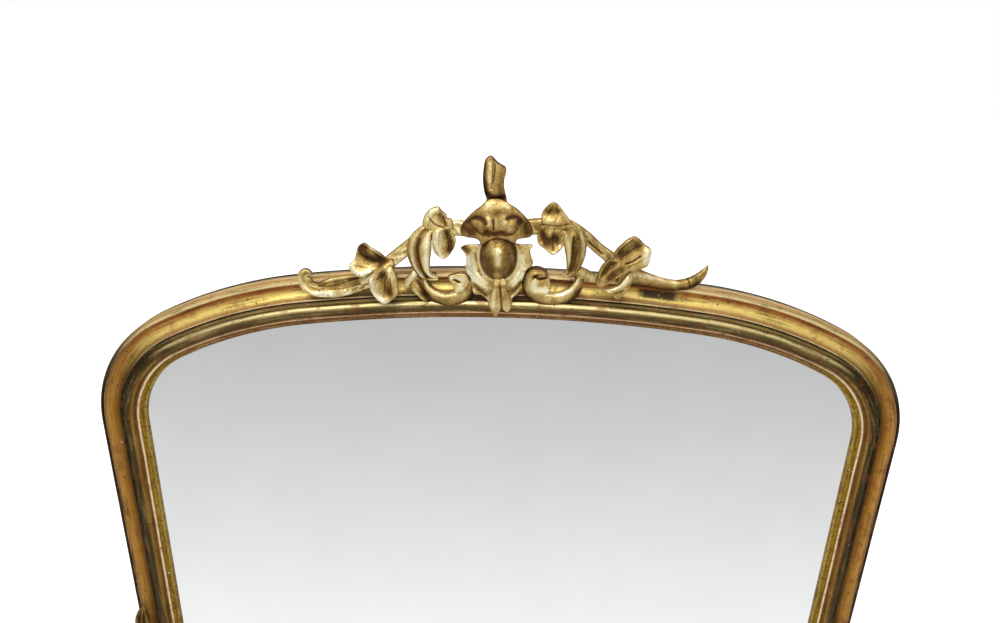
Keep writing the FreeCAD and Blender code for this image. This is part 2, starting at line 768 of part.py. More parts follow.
def crest_nodes():
    """Everything that stands over the frame's top, and what holds it."""
    plate = crest_plate()
    long_screws = crest_screw_bodies()
    short_screws = stay_screw_bodies()
    inner_left = [
        [(-103, 77), (-98, 88), (-84, 97), (-75, 90), (-62, 80), (-66, 67), (-80, 64), (-95, 67)],
        [(-91, 58), (-92, 45), (-86, 31), (-76, 24), (-64, 31), (-58, 43), (-62, 58), (-72, 70), (-84, 69)],
    ]
    inner_right = [
        [(52, 86), (56, 98), (69, 108), (82, 101), (90, 90), (95, 79), (86, 68), (70, 67), (56, 72)],
        [(58, 73), (50, 60), (51, 50), (58, 42), (71, 34), (83, 42), (88, 54), (86, 68), (74, 77)],
    ]
    outer_left = [
        [(-154, 18), (-168, 28), (-175, 36), (-181, 43), (-190, 41), (-194, 32), (-198, 22), (-205, 12),
         (-196, 2), (-178, -2), (-160, 2)],
        [(-144, 10), (-138, -4), (-137, -20), (-144, -34), (-157, -42), (-170, -33), (-177, -16),
         (-174, 2), (-160, 14)],
    ]
    outer_right = [
        [(154, 36), (162, 53), (178, 62), (192, 58), (201, 48), (206, 36), (202, 21), (184, 9), (164, 14)],
        [(162, 34), (146, 27), (138, 17), (132, 2), (134, -8), (150, -10), (170, 2), (184, 18)],
        [(142, -10), (150, -22), (166, -29), (177, -22), (181, -8), (186, 10), (168, 10), (150, 0)],
    ]
    left_crescent = [(-105, 56, 12, 5), (-110, 40, 27, 9), (-109, 21, 27, 9), (-103, 5, 20, 8),
                     (-93, -2, 11, 5), (-82, -4, 3, 1.2)]
    right_crescent = [(100, 76, 12, 5), (103, 52, 27, 9), (102, 28, 24, 9), (96, 12, 15, 6),
                      (85, 5, 3, 1.2)]
    left_stem = [(-44, 65, 18, 8.2), (-66, 66, 18, 8.2), (-88, 60, 17, 8), (-112, 44, 15, 7),
                 (-138, 24, 15, 7), (-162, 4, 17, 8.4)]
    right_stem = [(38, 71, 18, 8.2), (60, 73, 18, 8.2), (88, 74, 17, 8), (114, 61, 14, 6.8),
                  (140, 42, 13, 6.4), (164, 20, 17, 8.4)]
    left_tail = [(-168, -12, 30, 9.5), (-196, -21, 28, 12), (-222, -28, 29, 12), (-247, -33, 22, 10),
                 (-266, -28, 17, 8), (-273, -17, 14, 6.5), (-266, -6, 8, 3.8)]
    right_tail = [(172, -6, 30, 9.5), (205, -4, 28, 12), (232, -9, 18, 8.5), (256, -9, 15, 7),
                  (272, -2, 15, 7), (281, 8, 10, 4.5), (288, 19, 3, 1.2)]
    return {
        "crest_stay": cut_by(crest_stay(), long_screws + short_screws),
        "stay_screws": [slotted(body) for body in short_screws],
        "crest_screws": [slotted(body) for body in long_screws],
        "crest_cartouche": cut_by(plate, long_screws),
        "crest_cabochon": cabochon().cut(hood()),
        "crest_hood": hood(),
        "crest_finial": finial(),
        "crest_pendant": pendant(),
        "crest_left_scroll": left_scroll().cut(plate),
        "crest_right_scroll": right_scroll().cut(plate),
        "crest_left_stem": spray_stem(left_stem).cut(plate),
        "crest_right_stem": spray_stem(right_stem).cut(plate),
        "crest_left_inner_leaf": lobes([on_crest(points) for points in inner_left], crest_front),
        "crest_right_inner_leaf": lobes([on_crest(points) for points in inner_right], crest_front),
        "crest_left_outer_leaf": lobes([on_crest(points) for points in outer_left], crest_front),
        "crest_right_outer_leaf": lobes([on_crest(points) for points in outer_right], crest_front),
        "crest_left_crescent": leaf(on_crest(left_crescent), crest_front),
        "crest_right_crescent": leaf(on_crest(right_crescent), crest_front),
        "crest_left_tail": leaf(on_crest(left_tail), tail_back),
        "crest_right_tail": leaf(on_crest(right_tail), tail_back),
    }


def side_nodes():
    """Foot ornaments and hanging hardware of the two sides."""
    nodes = {}
    screws = []
    for word, side in (("left", -1), ("right", 1)):
        nodes[word + "_foot_bracket"] = foot_bracket(side)
        nodes[word + "_foot_volute"] = foot_volute(side)
        nodes[word + "_side_leaf"] = side_leaf(side)
        nodes[word + "_corner_leaf"] = corner_leaf(side)
        nodes[word + "_hanger_plate"] = hanger_plate(side)
        nodes[word + "_hanging_ring"] = hanging_ring(side)
        screws += [slotted(body) for body in hanger_screw_bodies(side)]
    nodes["hanger_screws"] = screws
    return nodes


def export(nodes):
    os.makedirs("parts", exist_ok=True)
    for name, shape in nodes.items():
        if isinstance(shape, list):
            shape = Part.makeCompound(shape)
        shape.exportStep("parts/%s.step" % name)
        print(name, len(shape.Solids), "solids", round(shape.Volume / 1000, 1), "cm3", shape.isValid())


export({**frame_nodes(), **crest_nodes(), **side_nodes()})
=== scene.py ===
import math
import bpy
import numpy as np
from mathutils import Matrix, Vector


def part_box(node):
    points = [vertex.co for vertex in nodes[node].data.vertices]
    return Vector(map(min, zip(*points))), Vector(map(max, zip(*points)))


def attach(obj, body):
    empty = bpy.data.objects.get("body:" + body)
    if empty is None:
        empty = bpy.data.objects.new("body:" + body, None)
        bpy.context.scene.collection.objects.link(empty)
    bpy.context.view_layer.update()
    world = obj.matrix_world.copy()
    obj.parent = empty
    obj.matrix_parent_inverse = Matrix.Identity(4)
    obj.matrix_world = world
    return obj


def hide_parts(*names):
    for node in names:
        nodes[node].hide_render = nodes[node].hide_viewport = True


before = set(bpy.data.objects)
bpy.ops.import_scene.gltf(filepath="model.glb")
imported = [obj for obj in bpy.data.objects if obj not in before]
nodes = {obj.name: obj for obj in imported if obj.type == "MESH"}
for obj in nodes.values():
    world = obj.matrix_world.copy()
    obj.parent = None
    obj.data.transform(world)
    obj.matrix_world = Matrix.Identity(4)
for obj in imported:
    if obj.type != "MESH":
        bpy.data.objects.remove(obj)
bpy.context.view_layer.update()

# Arched overmantel mirror: worn gilding on a cove frame, with a carved leaf crest.
# Shapes are in millimetres: x across, z up, v forward from the wall, u inward from the frame's outer side.
mm = 0.001
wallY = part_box("back_board_1")[1].y / mm
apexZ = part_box("frame_crown")[1].z / mm
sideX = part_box("frame_right_stile")[1].x / mm


def toFrame(x, z, v):
    # millimetres across, up and forward become metres in the frame
    x, z, v = np.broadcast_arrays(x, z, v)
    return np.stack([x, wallY - v, z], -1) * mm


def gauss(q, centre, width):
    # a bell: e to the minus square of the distance over the width
    return np.exp(-((q - centre) / width) ** 2)


def ease(low, high, value):
    # 0 below low, 1 above high, and a smooth step between
    t = np.clip((value - low) / (high - low), 0, 1)
    return t * t * (3 - 2 * t)


def splineThrough(points, count, closed=False, tension=0.0):
    # cubic through the points, whose slope at each is half the step between its two neighbours
    points = np.asarray(points, float)
    if closed:
        padded = np.concatenate([points[-1:], points, points[:2]])
    else:
        padded = np.concatenate([2 * points[:1] - points[1:2], points, 2 * points[-1:] - points[-2:-1]])
    spans = len(padded) - 3
    t = np.linspace(0, spans, count, endpoint=not closed)
    i = np.minimum(t.astype(int), spans - 1)
    f = (t - i)[:, None]
    a, b, c, d = (padded[i + k] for k in range(4))
    slopeB, slopeC = (c - a) * (1 - tension) / 2, (d - b) * (1 - tension) / 2
    start, end = (1 + 2 * f) * (1 - f) ** 2, f * f * (3 - 2 * f)
    return start * b + f * (1 - f) ** 2 * slopeB + end * c + f * f * (f - 1) * slopeC


def closedShell(rings, flatEnds=False):
    # closed rings joined in order; each end is one flat face, or a fan to the ring's middle
    m, n = rings.shape[:2]
    row, j = np.arange(m - 1)[:, None] * n, np.arange(n)
    k = (j + 1) % n
    quads = np.stack([row + j, row + k, row + n + k, row + n + j], -1).reshape(-1, 4)
    places = np.concatenate([rings.reshape(-1, 3), rings[:1].mean(1), rings[-1:].mean(1)])
    top = (m - 1) * n
    firstFan = np.stack([np.full(n, m * n), k, j], -1)
    lastFan = np.stack([np.full(n, m * n + 1), top + j, top + k], -1)
    fans = np.concatenate([firstFan, lastFan])
    corners = np.concatenate([quads[:, :3], quads[:, [0, 2, 3]], fans])
    a, b, c = np.moveaxis(places[corners] - places.mean(0), 1, 0)
    flip = 1
    if np.sum(a * np.cross(b, c)) < 0:  # inside out
        quads, fans, flip = quads[:, ::-1], fans[:, ::-1], -1
    if flatEnds:
        return places[:-2], [quads, j[None, ::-flip], (top + j)[None, ::flip]]
    return places, [quads, fans]


def newMesh(name, shells):
    # one mesh of all the shells, each given as its places and its groups of faces
    faces, first = [], 0
    for places, groups in shells:
        for group in groups:
            faces += (group + first).tolist()
        first += len(places)
    mesh = bpy.data.meshes.new(name)
    mesh.from_pydata(np.concatenate([places for places, groups in shells]), [], faces)
    return mesh


def newObject(name, data):
    # an object at the origin, linked to the scene
    thing = bpy.data.objects.new(name, data)
    bpy.context.scene.collection.objects.link(thing)
    return thing


def newPiece(name, shells, finish, node):
    # a piece that rides on the mirror and stands for a CAD node
    piece = newObject(name, newMesh(name, shells))
    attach(piece, "mirror")
    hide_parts(node)
    piece.data.materials.append(finish)
    return piece


def applyModifiers(piece):
    # the piece's mesh becomes what its modifiers make of it
    shown = piece.evaluated_get(bpy.context.evaluated_depsgraph_get())
    finished = bpy.data.meshes.new_from_object(shown)
    piece.modifiers.clear()
    piece.data = finished


def setAttribute(mesh, name, values):
    # one number for each point, under a name
    attribute = mesh.attributes.new(name, "FLOAT", "POINT")
    attribute.data.foreach_set("value", np.asarray(values, np.float32).ravel())


def readArray(items, word, width, kind=np.float32):
    # what a collection holds, one row for each item
    values = np.empty(len(items) * width, kind)
    items.foreach_get(word, values)
    return values.reshape(-1, width)


def neighbourMean(places, edges):
    # the mean of each point's neighbours along the edges
    size = len(places)
    a, b = edges.T
    count = np.bincount(edges.ravel(), minlength=size)[:, None]
    total = [np.bincount(a, row[b], size) + np.bincount(b, row[a], size) for row in places.T]
    return np.stack(total, -1) / np.maximum(count, 1)


def recessOf(places, spread):
    # how far each point lies behind the mean front around it, in mm: the foremost points on a grid of 1 mm,
    # blurred by a bell along x and then along z
    x, z, v = places[:, 0] / mm, places[:, 2] / mm, -places[:, 1] / mm
    i, k = (x - x.min()).astype(int), (z - z.min()).astype(int)
    empty = -1e6
    foremost = np.full((i.max() + 1, k.max() + 1), empty)
    np.maximum.at(foremost, (i, k), v)
    held = foremost > empty
    sums = [np.where(held, foremost, 0), held * 1.0]
    reach = 2 * spread
    weights = gauss(np.arange(-reach, reach + 1), 0, spread)
    for axis, margin in enumerate(([(reach, reach), (0, 0)], [(0, 0), (reach, reach)])):
        padded = [np.pad(one, margin) for one in sums]
        count = foremost.shape[axis]
        sums = [
            sum(w * one.take(range(s, s + count), axis) for s, w in enumerate(weights)) for one in padded]
    return (sums[0] / np.maximum(sums[1], 1e-6))[i, k] - v


carving = dict(voxel=0.6, softening=3, softStep=0.5, reach=40, reachStep=0.6, spread=9)


def softenAndMark(mesh):
    # a few rounds of smoothing, then two marks in mm: "hollow", how far each point lies below its smoothed
    # surroundings, and "recess", how far it lies behind the mean front
    places = readArray(mesh.vertices, "co", 3).astype(float)
    edges = readArray(mesh.edges, "vertices", 2, np.int32)
    for turn in range(carving["softening"]):
        places += carving["softStep"] * (neighbourMean(places, edges) - places)
    mesh.vertices.foreach_set("co", places.astype(np.float32).ravel())
    mesh.update()
    normals = readArray(mesh.vertex_normals, "vector", 3)
    around = places.copy()
    for turn in range(carving["reach"]):
        around += carving["reachStep"] * (neighbourMean(around, edges) - around)
    setAttribute(mesh, "hollow", ((around - places) * normals).sum(1) / mm)
    setAttribute(mesh, "recess", recessOf(places, carving["spread"]))
    mesh.shade_smooth()
    return places


def paintedLightOf(places, offset, strokes):
    # painted highlights and painted shade along smooth lines of the crest, on one level for the whole piece:
    # each stroke is its points, half width and amount
    x, z = places[:, 0] / mm - crestMiddle, places[:, 2] / mm - apexZ
    return withCuts(np.full(len(x), float(offset)), x, z, strokes)


def carvedPiece(node, shells, finish, voxel=carving["voxel"], paintedLightStrokes=(), offset=0.0):
    # overlapping shells made one skin by a voxel remesh, smoothed, with its hollows marked and its painted
    # highlights and shade stored
    piece = newPiece(node + "_carved", shells, finish, node)
    remesh = piece.modifiers.new("oneSkin", "REMESH")
    remesh.mode = "VOXEL"
    remesh.voxel_size = voxel * mm
    applyModifiers(piece)
    places = softenAndMark(piece.data)
    # the tone attribute holds the painted highlights and painted shade
    setAttribute(piece.data, "tone", paintedLightOf(places, offset, paintedLightStrokes))
    return piece


# Shader sockets as Python values

def tint(red, green, blue):
    # sRGB bytes as the linear colour that a shader takes
    c = np.array([red, green, blue]) / 255
    return (*np.where(c <= 0.04045, c / 12.92, ((c + 0.055) / 1.055) ** 2.4).tolist(), 1.0)


def greyOf(level):
    # one level for red, green and blue
    return (level, level, level, 1)


class Wire:
    # a socket that takes part in sums: each operator adds a Math node
    def __init__(self, tree, socket=None):
        self.tree = tree
        self.socket = socket

    def add(self, kind, settings=None, inputs=None, output=0):
        node = self.tree.nodes.new(kind)
        for key, value in (settings or {}).items():
            if key == "stops":
                self.setStops(node.color_ramp, value)
            else:
                setattr(node, key, value)
        for key, value in (inputs or {}).items():
            if isinstance(value, Wire):
                self.tree.links.new(value.socket, node.inputs[key])
            else:
                node.inputs[key].default_value = value
        return Wire(self.tree, node.outputs[output]) if node.outputs else None

    def setStops(self, ramp, stops):
        while len(ramp.elements) < len(stops):
            ramp.elements.new(1.0)
        for element, (position, colour) in zip(ramp.elements, stops):
            element.position = position
            element.color = colour

    def maths(self, operation, a, b=0.0, clamp=False):
        return self.add("ShaderNodeMath", {"operation": operation, "use_clamp": clamp}, {0: a, 1: b})

    def __add__(self, other):
        return self.maths("ADD", self, other)

    def __radd__(self, other):
        return self.maths("ADD", other, self)

    def __sub__(self, other):
        return self.maths("SUBTRACT", self, other)

    def __rsub__(self, other):
        return self.maths("SUBTRACT", other, self)

    def __mul__(self, other):
        return self.maths("MULTIPLY", self, other)

    def __rmul__(self, other):
        return self.maths("MULTIPLY", other, self)

    def __truediv__(self, other):
        return self.maths("DIVIDE", self, other)

    def __abs__(self):
        return self.maths("ABSOLUTE", self)

    def clamped(self):
        return self.maths("ADD", self, 0.0, True)

    def step(self, low, high):
        # 0 below low, 1 above high, smooth between
        settings = {"interpolation_type": "SMOOTHSTEP"}
        return self.add("ShaderNodeMapRange", settings, {"Value": self, "From Min": low, "From Max": high})

    def ramp(self, stops):
        return self.add("ShaderNodeValToRGB", {"stops": stops}, {0: self})

    def mix(self, other, share):
        # colours: this one where share is 0, the other where it is 1
        return self.add("ShaderNodeMix", {"data_type": "RGBA"}, {0: share, 6: self, 7: other}, 2)

    def axis(self, word):
        # one number of a vector
        return self.add("ShaderNodeSeparateXYZ", {}, {0: self}, word)

    def facing(self, word):
        # the surface's direction along one axis
        return self.add("ShaderNodeNewGeometry", {}, {}, "Normal").axis(word)

    def noise(self, scale, detail, stretch=None):
        # cloudy values about 0.5, with the coordinates stretched on each axis if wanted
        where = self
        if stretch:
            where = self.add("ShaderNodeMapping", {}, {"Vector": self, "Scale": stretch})
        return self.add("ShaderNodeTexNoise", {}, {"Vector": where, "Scale": scale, "Detail": detail})

    def attribute(self, name):
        return self.add("ShaderNodeAttribute", {"attribute_name": name}, {}, 2)

    def bump(self, height, distance, strength):
        inputs = {"Height": height, "Distance": distance, "Strength": strength}
        return self.add("ShaderNodeBump", {}, inputs)


def newFinish(name):
    # an empty material, its wire and the object's coordinates
    material = bpy.data.materials.new(name)
    material.use_nodes = True
    material.node_tree.nodes.clear()
    wire = Wire(material.node_tree)
    place = wire.add("ShaderNodeTexCoord", {}, {}, "Object")
    return material, wire, place


def principled(wire, **inputs):
    # the finish's one shader: its sockets take constants or wires
    words = {"colour": "Base Color", "specularLevel": "Specular IOR Level", "specularTint": "Specular Tint"}
    named = {words.get(key, key.capitalize()): value for key, value in inputs.items()}
    shader = wire.add("ShaderNodeBsdfPrincipled", {}, named)
    wire.add("ShaderNodeOutputMaterial", {}, {"Surface": shader})


gold = dict(
    umber=tint(38, 25, 12), brown=tint(92, 68, 30), middle=tint(174, 142, 80), yellow=tint(224, 200, 134),
    pale=tint(254, 244, 206), bole=tint(132, 70, 42), clay=tint(98, 52, 34), wood=tint(150, 112, 68),
    oldWood=tint(104, 74, 44), soot=tint(50, 41, 32), chalk=tint(250, 240, 220))
goldRamp = [(0.0, "umber"), (0.24, "brown"), (0.51, "middle"), (0.68, "yellow"), (0.88, "pale")]
# weights of the carved gilding's level: painted light from the tone strokes, painted shade in recesses,
# hollows and on the sides, and random mottle
goldLevel = dict(
    base=0.6, tone=1.1, recess=0.06, hollow=0.34, sideShade=0.36, broad=0.5, gouge=0.35, fine=0.35)
sheen = dict(specularLevel=0.2, specularTint=tint(226, 204, 168))  # gold's grazing light
# a real scuff on the crown, and the painted shadow of the crest on the moulding under it
stainsAndShadow = dict(
    scuff=dict(x=0.219, half=0.034, fade=0.014, across=(11.0, 15.0, 24.0, 28.0)),
    crestShadow=dict(x=-0.0095, half=0.16, fade=0.06, across=(28.0, 35.0, 40.0, 41.5)))


def carvedGilding(name, shade=0.0, polish=0.4):
    # gold over red clay, painted darker in the hollows and on the sides and pale on what stands forward
    material, wire, place = newFinish(name)
    hollow, recess, tone = (wire.attribute(word) for word in ("hollow", "recess", "tone"))
    broad = place.noise(46.0, 4.0)
    gouge = place.noise(120.0, 3.0, (1.0, 1.0, 0.3))
    fine = place.noise(330.0, 3.0)
    speck = place.noise(900.0, 2.0)
    normalY = wire.facing("Y")
    # painted shade on surfaces that turn from the front to the sides
    sideShade = (normalY + 0.62).step(0.0, 0.6)
    share = goldLevel
    # painted highlights and shade from the tone strokes, and painted shade in recesses and in hollows, where
    # brown grime also lies
    level = share["base"] + shade + tone * share["tone"] - recess.clamped() * share["recess"]
    level = level - hollow.clamped() * share["hollow"] - sideShade * share["sideShade"]
    level = level + (broad - 0.5) * share["broad"] + (gouge - 0.5) * share["gouge"]
    level = (level + (fine - 0.5) * share["fine"]).clamped()
    colour = level.ramp([(stop, gold[word]) for stop, word in goldRamp])
    worn = place.noise(95.0, 5.0).step(0.58, 0.68) * (0.2 - hollow).step(0.0, 0.7)
    colour = colour.mix(gold["bole"], worn * 0.45)
    clay = (0.42 - level).step(0.0, 0.3) * place.noise(70.0, 3.0).step(0.44, 0.6)
    colour = colour.mix(gold["clay"], clay * 0.5)
    crease = abs(place.noise(150.0, 2.0, (1.0, 0.5, 0.45)) - 0.5)
    scratch = (0.014 - crease).step(0.0, 0.012) * place.noise(64.0, 2.0).step(0.48, 0.6)
    colour = colour.mix(gold["umber"], scratch * 0.5)
    dirt = speck.step(0.64, 0.72)
    colour = colour.mix(gold["umber"], dirt * 0.5)
    back = normalY.step(0.55, 0.8)
    grain = place.noise(150.0, 5.0, (1.0, 1.0, 0.12))
    raw = grain.ramp([(0.32, gold["oldWood"]), (0.68, gold["wood"])])
    colour = colour.mix(raw, back)
    gilt = (1 - back) * (1 - worn * 0.4) * (1 - dirt * 0.6)
    tooled = fine * 0.6 + speck * 0.25 + broad * 0.8 + gouge * 0.8 - scratch * 0.7
    principled(
        wire, colour=colour, metallic=gilt * (0.25 + level * 0.5), **sheen,
        roughness=(polish + 0.22 + back * 0.25 - level * 0.25 + (fine - 0.5) * 0.25).clamped(),
        normal=wire.bump(tooled, 0.0008, 0.7))
    return material


def crownStretch(place, across, spot):
    # 1 on a stretch of the crown's moulding near one x and between two places across it, fading at its edges
    begin, full, fading, end = spot["across"]
    stretch = (spot["half"] - abs(place.axis("X") - spot["x"])).step(0.0, spot["fade"])
    onCrown = place.axis("Z").step(0.9, 1.0)
    return stretch * onCrown * across.step(begin, full) * (end - across).step(0.0, end - fading)


def bandedGilding(name, first, last, turn, cracks, flat, upright):
    # moulding: colours by the place across it, one list where it lies flat and one where it stands upright,
    # both holding painted highlights and painted shade, streaked along its length, worn to clay and wood,
    # with hairline cracks across
    material, wire, place = newFinish(name)
    across, along, gilt, steep = (wire.attribute(word) for word in ("across", "along", "gilt", "steep"))
    gilt = gilt * (0.8 - wire.facing("Y")).step(0.0, 0.3)
    broad = place.noise(24.0, 5.0)
    streak = wire.add("ShaderNodeCombineXYZ", {}, {0: along * 0.003, 1: across * 0.06}).noise(5.0, 7.0)
    fine = place.noise(260.0, 3.0)
    speck = place.noise(700.0, 2.0)
    inCove = across.step(7.0, 12.0) * (32 - across).step(0.0, 5.0)
    shift = ((broad - 0.5) * 5.0 + (streak - 0.5) * 4.0) * inCove
    band = (across + shift + (broad - 0.5) * 0.8 + (streak - 0.5) * 0.8 - first) / (last - first)
    lyingPaintedLight, stoodPaintedLight = (
        band.ramp([((edge - first) / (last - first), tint(*shade)) for edge, shade in bands])
        for bands in (flat, upright))
    # the upright list is painted darker, as shade on the stiles
    colour = lyingPaintedLight.mix(stoodPaintedLight, steep.step(*turn))
    tone = (broad - 0.5) * 0.8 + (streak - 0.5) * 2.4 + (fine - 0.5) * 0.7
    colour = colour.mix(gold["umber"], (0.0 - tone).step(0.0, 0.5) * 0.55)
    # yellow mottle, weaker where the moulding stands upright: painted shade there
    colour = colour.mix(gold["yellow"], tone.step(0.05, 0.55) * (0.42 - steep * 0.22))
    colour = colour.mix(gold["yellow"], speck.step(0.62, 0.74) * 0.22)
    colour = colour.mix(gold["umber"], (fine - 0.5).step(0.02, 0.12) * across.step(60.8, 61.6) * 0.55)
    patch = place.noise(60.0, 6.0).step(0.54, 0.66)
    colour = colour.mix(gold["bole"], patch * across.step(4.0, 9.0) * 0.4)
    scuff = crownStretch(place, across, stainsAndShadow["scuff"]) * place.noise(110.0, 4.0).step(0.24, 0.44)
    colour = colour.mix(gold["soot"], scuff * 0.95)
    # painted shadow of the crest, dark on the crown's moulding under it
    colour = colour.mix(gold["umber"], crownStretch(place, across, stainsAndShadow["crestShadow"]) * 0.75)
    bare = place.noise(190.0, 2.0).step(0.75, 0.77) * across.step(2.0, 4.0)
    colour = colour.mix(gold["chalk"], bare * 0.8)
    wobble = place.noise(70.0, 2.0)
    split = wire.add(
        "ShaderNodeTexVoronoi", {"voronoi_dimensions": "1D", "feature": "DISTANCE_TO_EDGE"},
        {"W": along * 0.034 + wobble * 1.3 + across * 0.006, "Scale": 1.0})
    crack = (0.016 - split).step(0.0, 0.014) * place.noise(33.0, 2.0).step(0.5, 0.6) * cracks
    chip = place.noise(150.0, 5.0).step(0.66, 0.71)
    colour = colour.mix(gold["umber"], (crack + chip * 0.8).clamped())
    lengthwise = {0: along * 0.002, 1: across * 0.06, 2: place.axis("X") * 3.0}
    grain = wire.add("ShaderNodeCombineXYZ", {}, lengthwise).noise(7.0, 5.0)
    raw = grain.ramp([(0.35, gold["oldWood"]), (0.65, gold["wood"])])
    colour = raw.mix(colour, gilt)
    sound = gilt * across.step(-3.0, 5.5) * (1 - patch * 0.5) * (1 - chip)
    principled(
        wire, colour=colour, metallic=sound * (0.45 + tone * 0.3).clamped(), **sheen,
        roughness=(0.76 - sound * 0.34 + (fine - 0.5) * 0.25).clamped(),
        normal=wire.bump(fine * 0.5 + streak * 0.6 + speck * 0.2 - crack * 1.2 - chip * 0.8, 0.0006, 0.7))
    return material


def mirrorGlass():
    # silvered plate: a true mirror in front, grey paint behind
    material, wire, place = newFinish("mirrorGlass")
    front = (0.0 - wire.facing("Y")).step(0.4, 0.6)
    haze = place.noise(9.0, 4.0)
    paint = haze.ramp([(0.3, tint(70, 62, 56)), (0.7, tint(98, 88, 80))])
    silver = haze.ramp([(0.3, tint(246, 247, 247)), (0.7, tint(250, 251, 251))])
    principled(
        wire, colour=paint.mix(silver, front), metallic=front,
        roughness=0.7 - front * 0.69 + (haze - 0.5) * 0.004)
    return material


def plankWood(name, light, dark, axis):
    # sawn boards: grain drawn out along one axis, growth bands, dust
    material, wire, place = newFinish(name)
    stretch = [22.0, 22.0, 22.0]
    stretch[axis] = 0.5
    grain = place.noise(9.0, 6.0, stretch)
    rings = wire.add(
        "ShaderNodeTexWave", {"wave_type": "RINGS", "rings_direction": "XYZ"[axis]},
        {"Vector": place, "Scale": 9.0, "Distortion": 5.0, "Detail": 3.0, "Detail Scale": 0.7})
    fibre = place.noise(60.0, 3.0, stretch)
    dust = place.noise(5.0, 4.0)
    colour = (grain * 0.65 + fibre * 0.35).ramp([(0.3, dark), (0.68, light)])
    colour = colour.mix(dark, rings.step(0.6, 1.0) * 0.35)
    colour = colour.mix(tint(92, 80, 66), dust.step(0.45, 0.75) * 0.35)
    principled(
        wire, colour=colour, roughness=0.74 + (grain - 0.5) * 0.3,
        normal=wire.bump(grain * 0.6 + fibre * 0.4, 0.0006, 0.6))
    return material


def agedSteel(name, bright, rust):
    # dull iron: grey with brown rust in clouds
    material, wire, place = newFinish(name)
    cloud = place.noise(160.0, 5.0)
    scratch = place.noise(900.0, 2.0, (1.0, 1.0, 6.0))
    stain = cloud.step(0.5, 0.64) * rust
    colour = scratch.ramp([(0.3, tint(92, 88, 82)), (0.7, bright)]).mix(tint(96, 58, 34), stain)
    principled(
        wire, colour=colour, metallic=1 - stain * 0.8,
        roughness=0.36 + stain * 0.35 + (scratch - 0.5) * 0.2,
        normal=wire.bump(cloud + scratch * 0.4, 0.0003, 0.5))
    return material


carvedGold = carvedGilding("carvedGilding")
bossGold = carvedGilding("burnishedBoss", -0.2, 0.2)
# the side leaves' gilding, darker all over
sideGold = carvedGilding("darkerSideGilding", -0.25)
# band colours hold painted light besides the gilding's own colours: pale lines along lip, fillet edges, round
# and bead are painted highlights; the upright lists' dark outer edge and darker run are painted shade
frameBands = dict(
    first=-24.0, last=36.0, turn=(0.1, 0.9), cracks=0.5, flat=[
        (-24, (18, 12, 9)), (-15, (24, 17, 12)), (-12, (160, 130, 86)), (-5, (214, 182, 128)),
        (-1, (188, 154, 102)), (3, (182, 148, 96)), (6, (252, 230, 172)), (8, (230, 198, 136)),
        (9.5, (164, 104, 64)), (15, (190, 132, 74)), (18.5, (224, 184, 98)), (23, (252, 226, 132)),
        (28, (238, 208, 120)), (30.5, (192, 156, 98)), (32.2, (198, 166, 108)), (33, (246, 224, 170)),
        (34, (230, 200, 140)), (34.4, (70, 52, 30))],
    upright=[
        (-24, (14, 10, 8)), (-18, (18, 12, 9)), (-15.5, (74, 51, 22)), (-2, (60, 42, 18)), (3, (16, 11, 8)),
        (7.0, (18, 12, 9)), (7.7, (170, 119, 64)), (9.5, (232, 178, 106)), (12, (196, 141, 62)),
        (18, (158, 110, 38)), (23, (132, 91, 32)), (27, (110, 73, 26)), (30, (82, 55, 20)),
        (32, (52, 39, 18)), (35, (42, 33, 15))])
slipBands = dict(
    first=34.0, last=70.0, turn=(0.03, 0.5), cracks=1.0, flat=[
        (34, (40, 28, 16)), (35.8, (46, 34, 20)), (36.6, (128, 108, 62)), (39.2, (150, 128, 76)),
        (40.6, (44, 34, 20)), (42, (196, 174, 112)), (44, (240, 222, 166)), (45.6, (172, 150, 94)),
        (48, (112, 94, 54)), (53, (84, 69, 38)), (55.6, (48, 38, 22)), (56.6, (124, 100, 56)),
        (58.4, (150, 112, 66)), (60, (240, 192, 150)), (61.2, (116, 76, 48)), (63, (128, 86, 46)),
        (67, (144, 102, 52)), (69.4, (88, 58, 30))],
    upright=[
        (34, (38, 30, 14)), (39, (48, 39, 18)), (44, (52, 43, 20)), (48, (68, 54, 24)),
        (50.5, (94, 71, 30)), (52, (150, 114, 52)), (54, (122, 88, 36)), (56, (136, 96, 40)),
        (56.8, (112, 74, 28)), (57.9, (255, 234, 192)), (60.6, (255, 224, 176)), (61.5, (120, 85, 24)),
        (63, (154, 122, 30)), (67, (148, 116, 30)), (68.4, (186, 156, 84)), (69.4, (168, 138, 74))])
frameGold = bandedGilding("wornFrameGilding", **frameBands)
slipGold = bandedGilding("burnishedSlipGilding", **slipBands)
print("finishes made")

# Frame and slip: the moulding's section carried round the arch

arch = dict(
    height=apexZ, halfWidth=sideX, shoulderRadius=194.0, haunchRadius=638.0,
    crownTurn=math.radians(7.4), haunchTurn=math.radians(19.6), step=4.0, sharpTurn=math.radians(38))
hollowMoulding = dict(
    side=23.0, roundOver=(1.8, 26.85), lip=(6.0, 28.5), lipEnd=(8.0, 28.5), coveFloor=(18.8, 19.5),
    coveEdge=(32.0, 31.0), coveEnd=34.0, seat=22.0, rebate=56.0, ledge=9.0, boardLine=44.0, spacing=0.7,
    wear=2)
slipMoulding = dict(
    start=34.4, seat=22.0, fillet=31.0, torusStart=39.4, torusTop=(47.4, 39.0), torusEnd=55.4,
    beadStart=57.9, beadTop=(59.4, 32.8), beadEnd=60.9, sight=(69.4, 26.0), backMiddle=54.0, spacing=0.6,
    wear=1)
waves = dict(above=24.0, long=(0.09, 41.0, 9.0, 0.0), short=(0.06, 17.3, 5.0, 1.3))
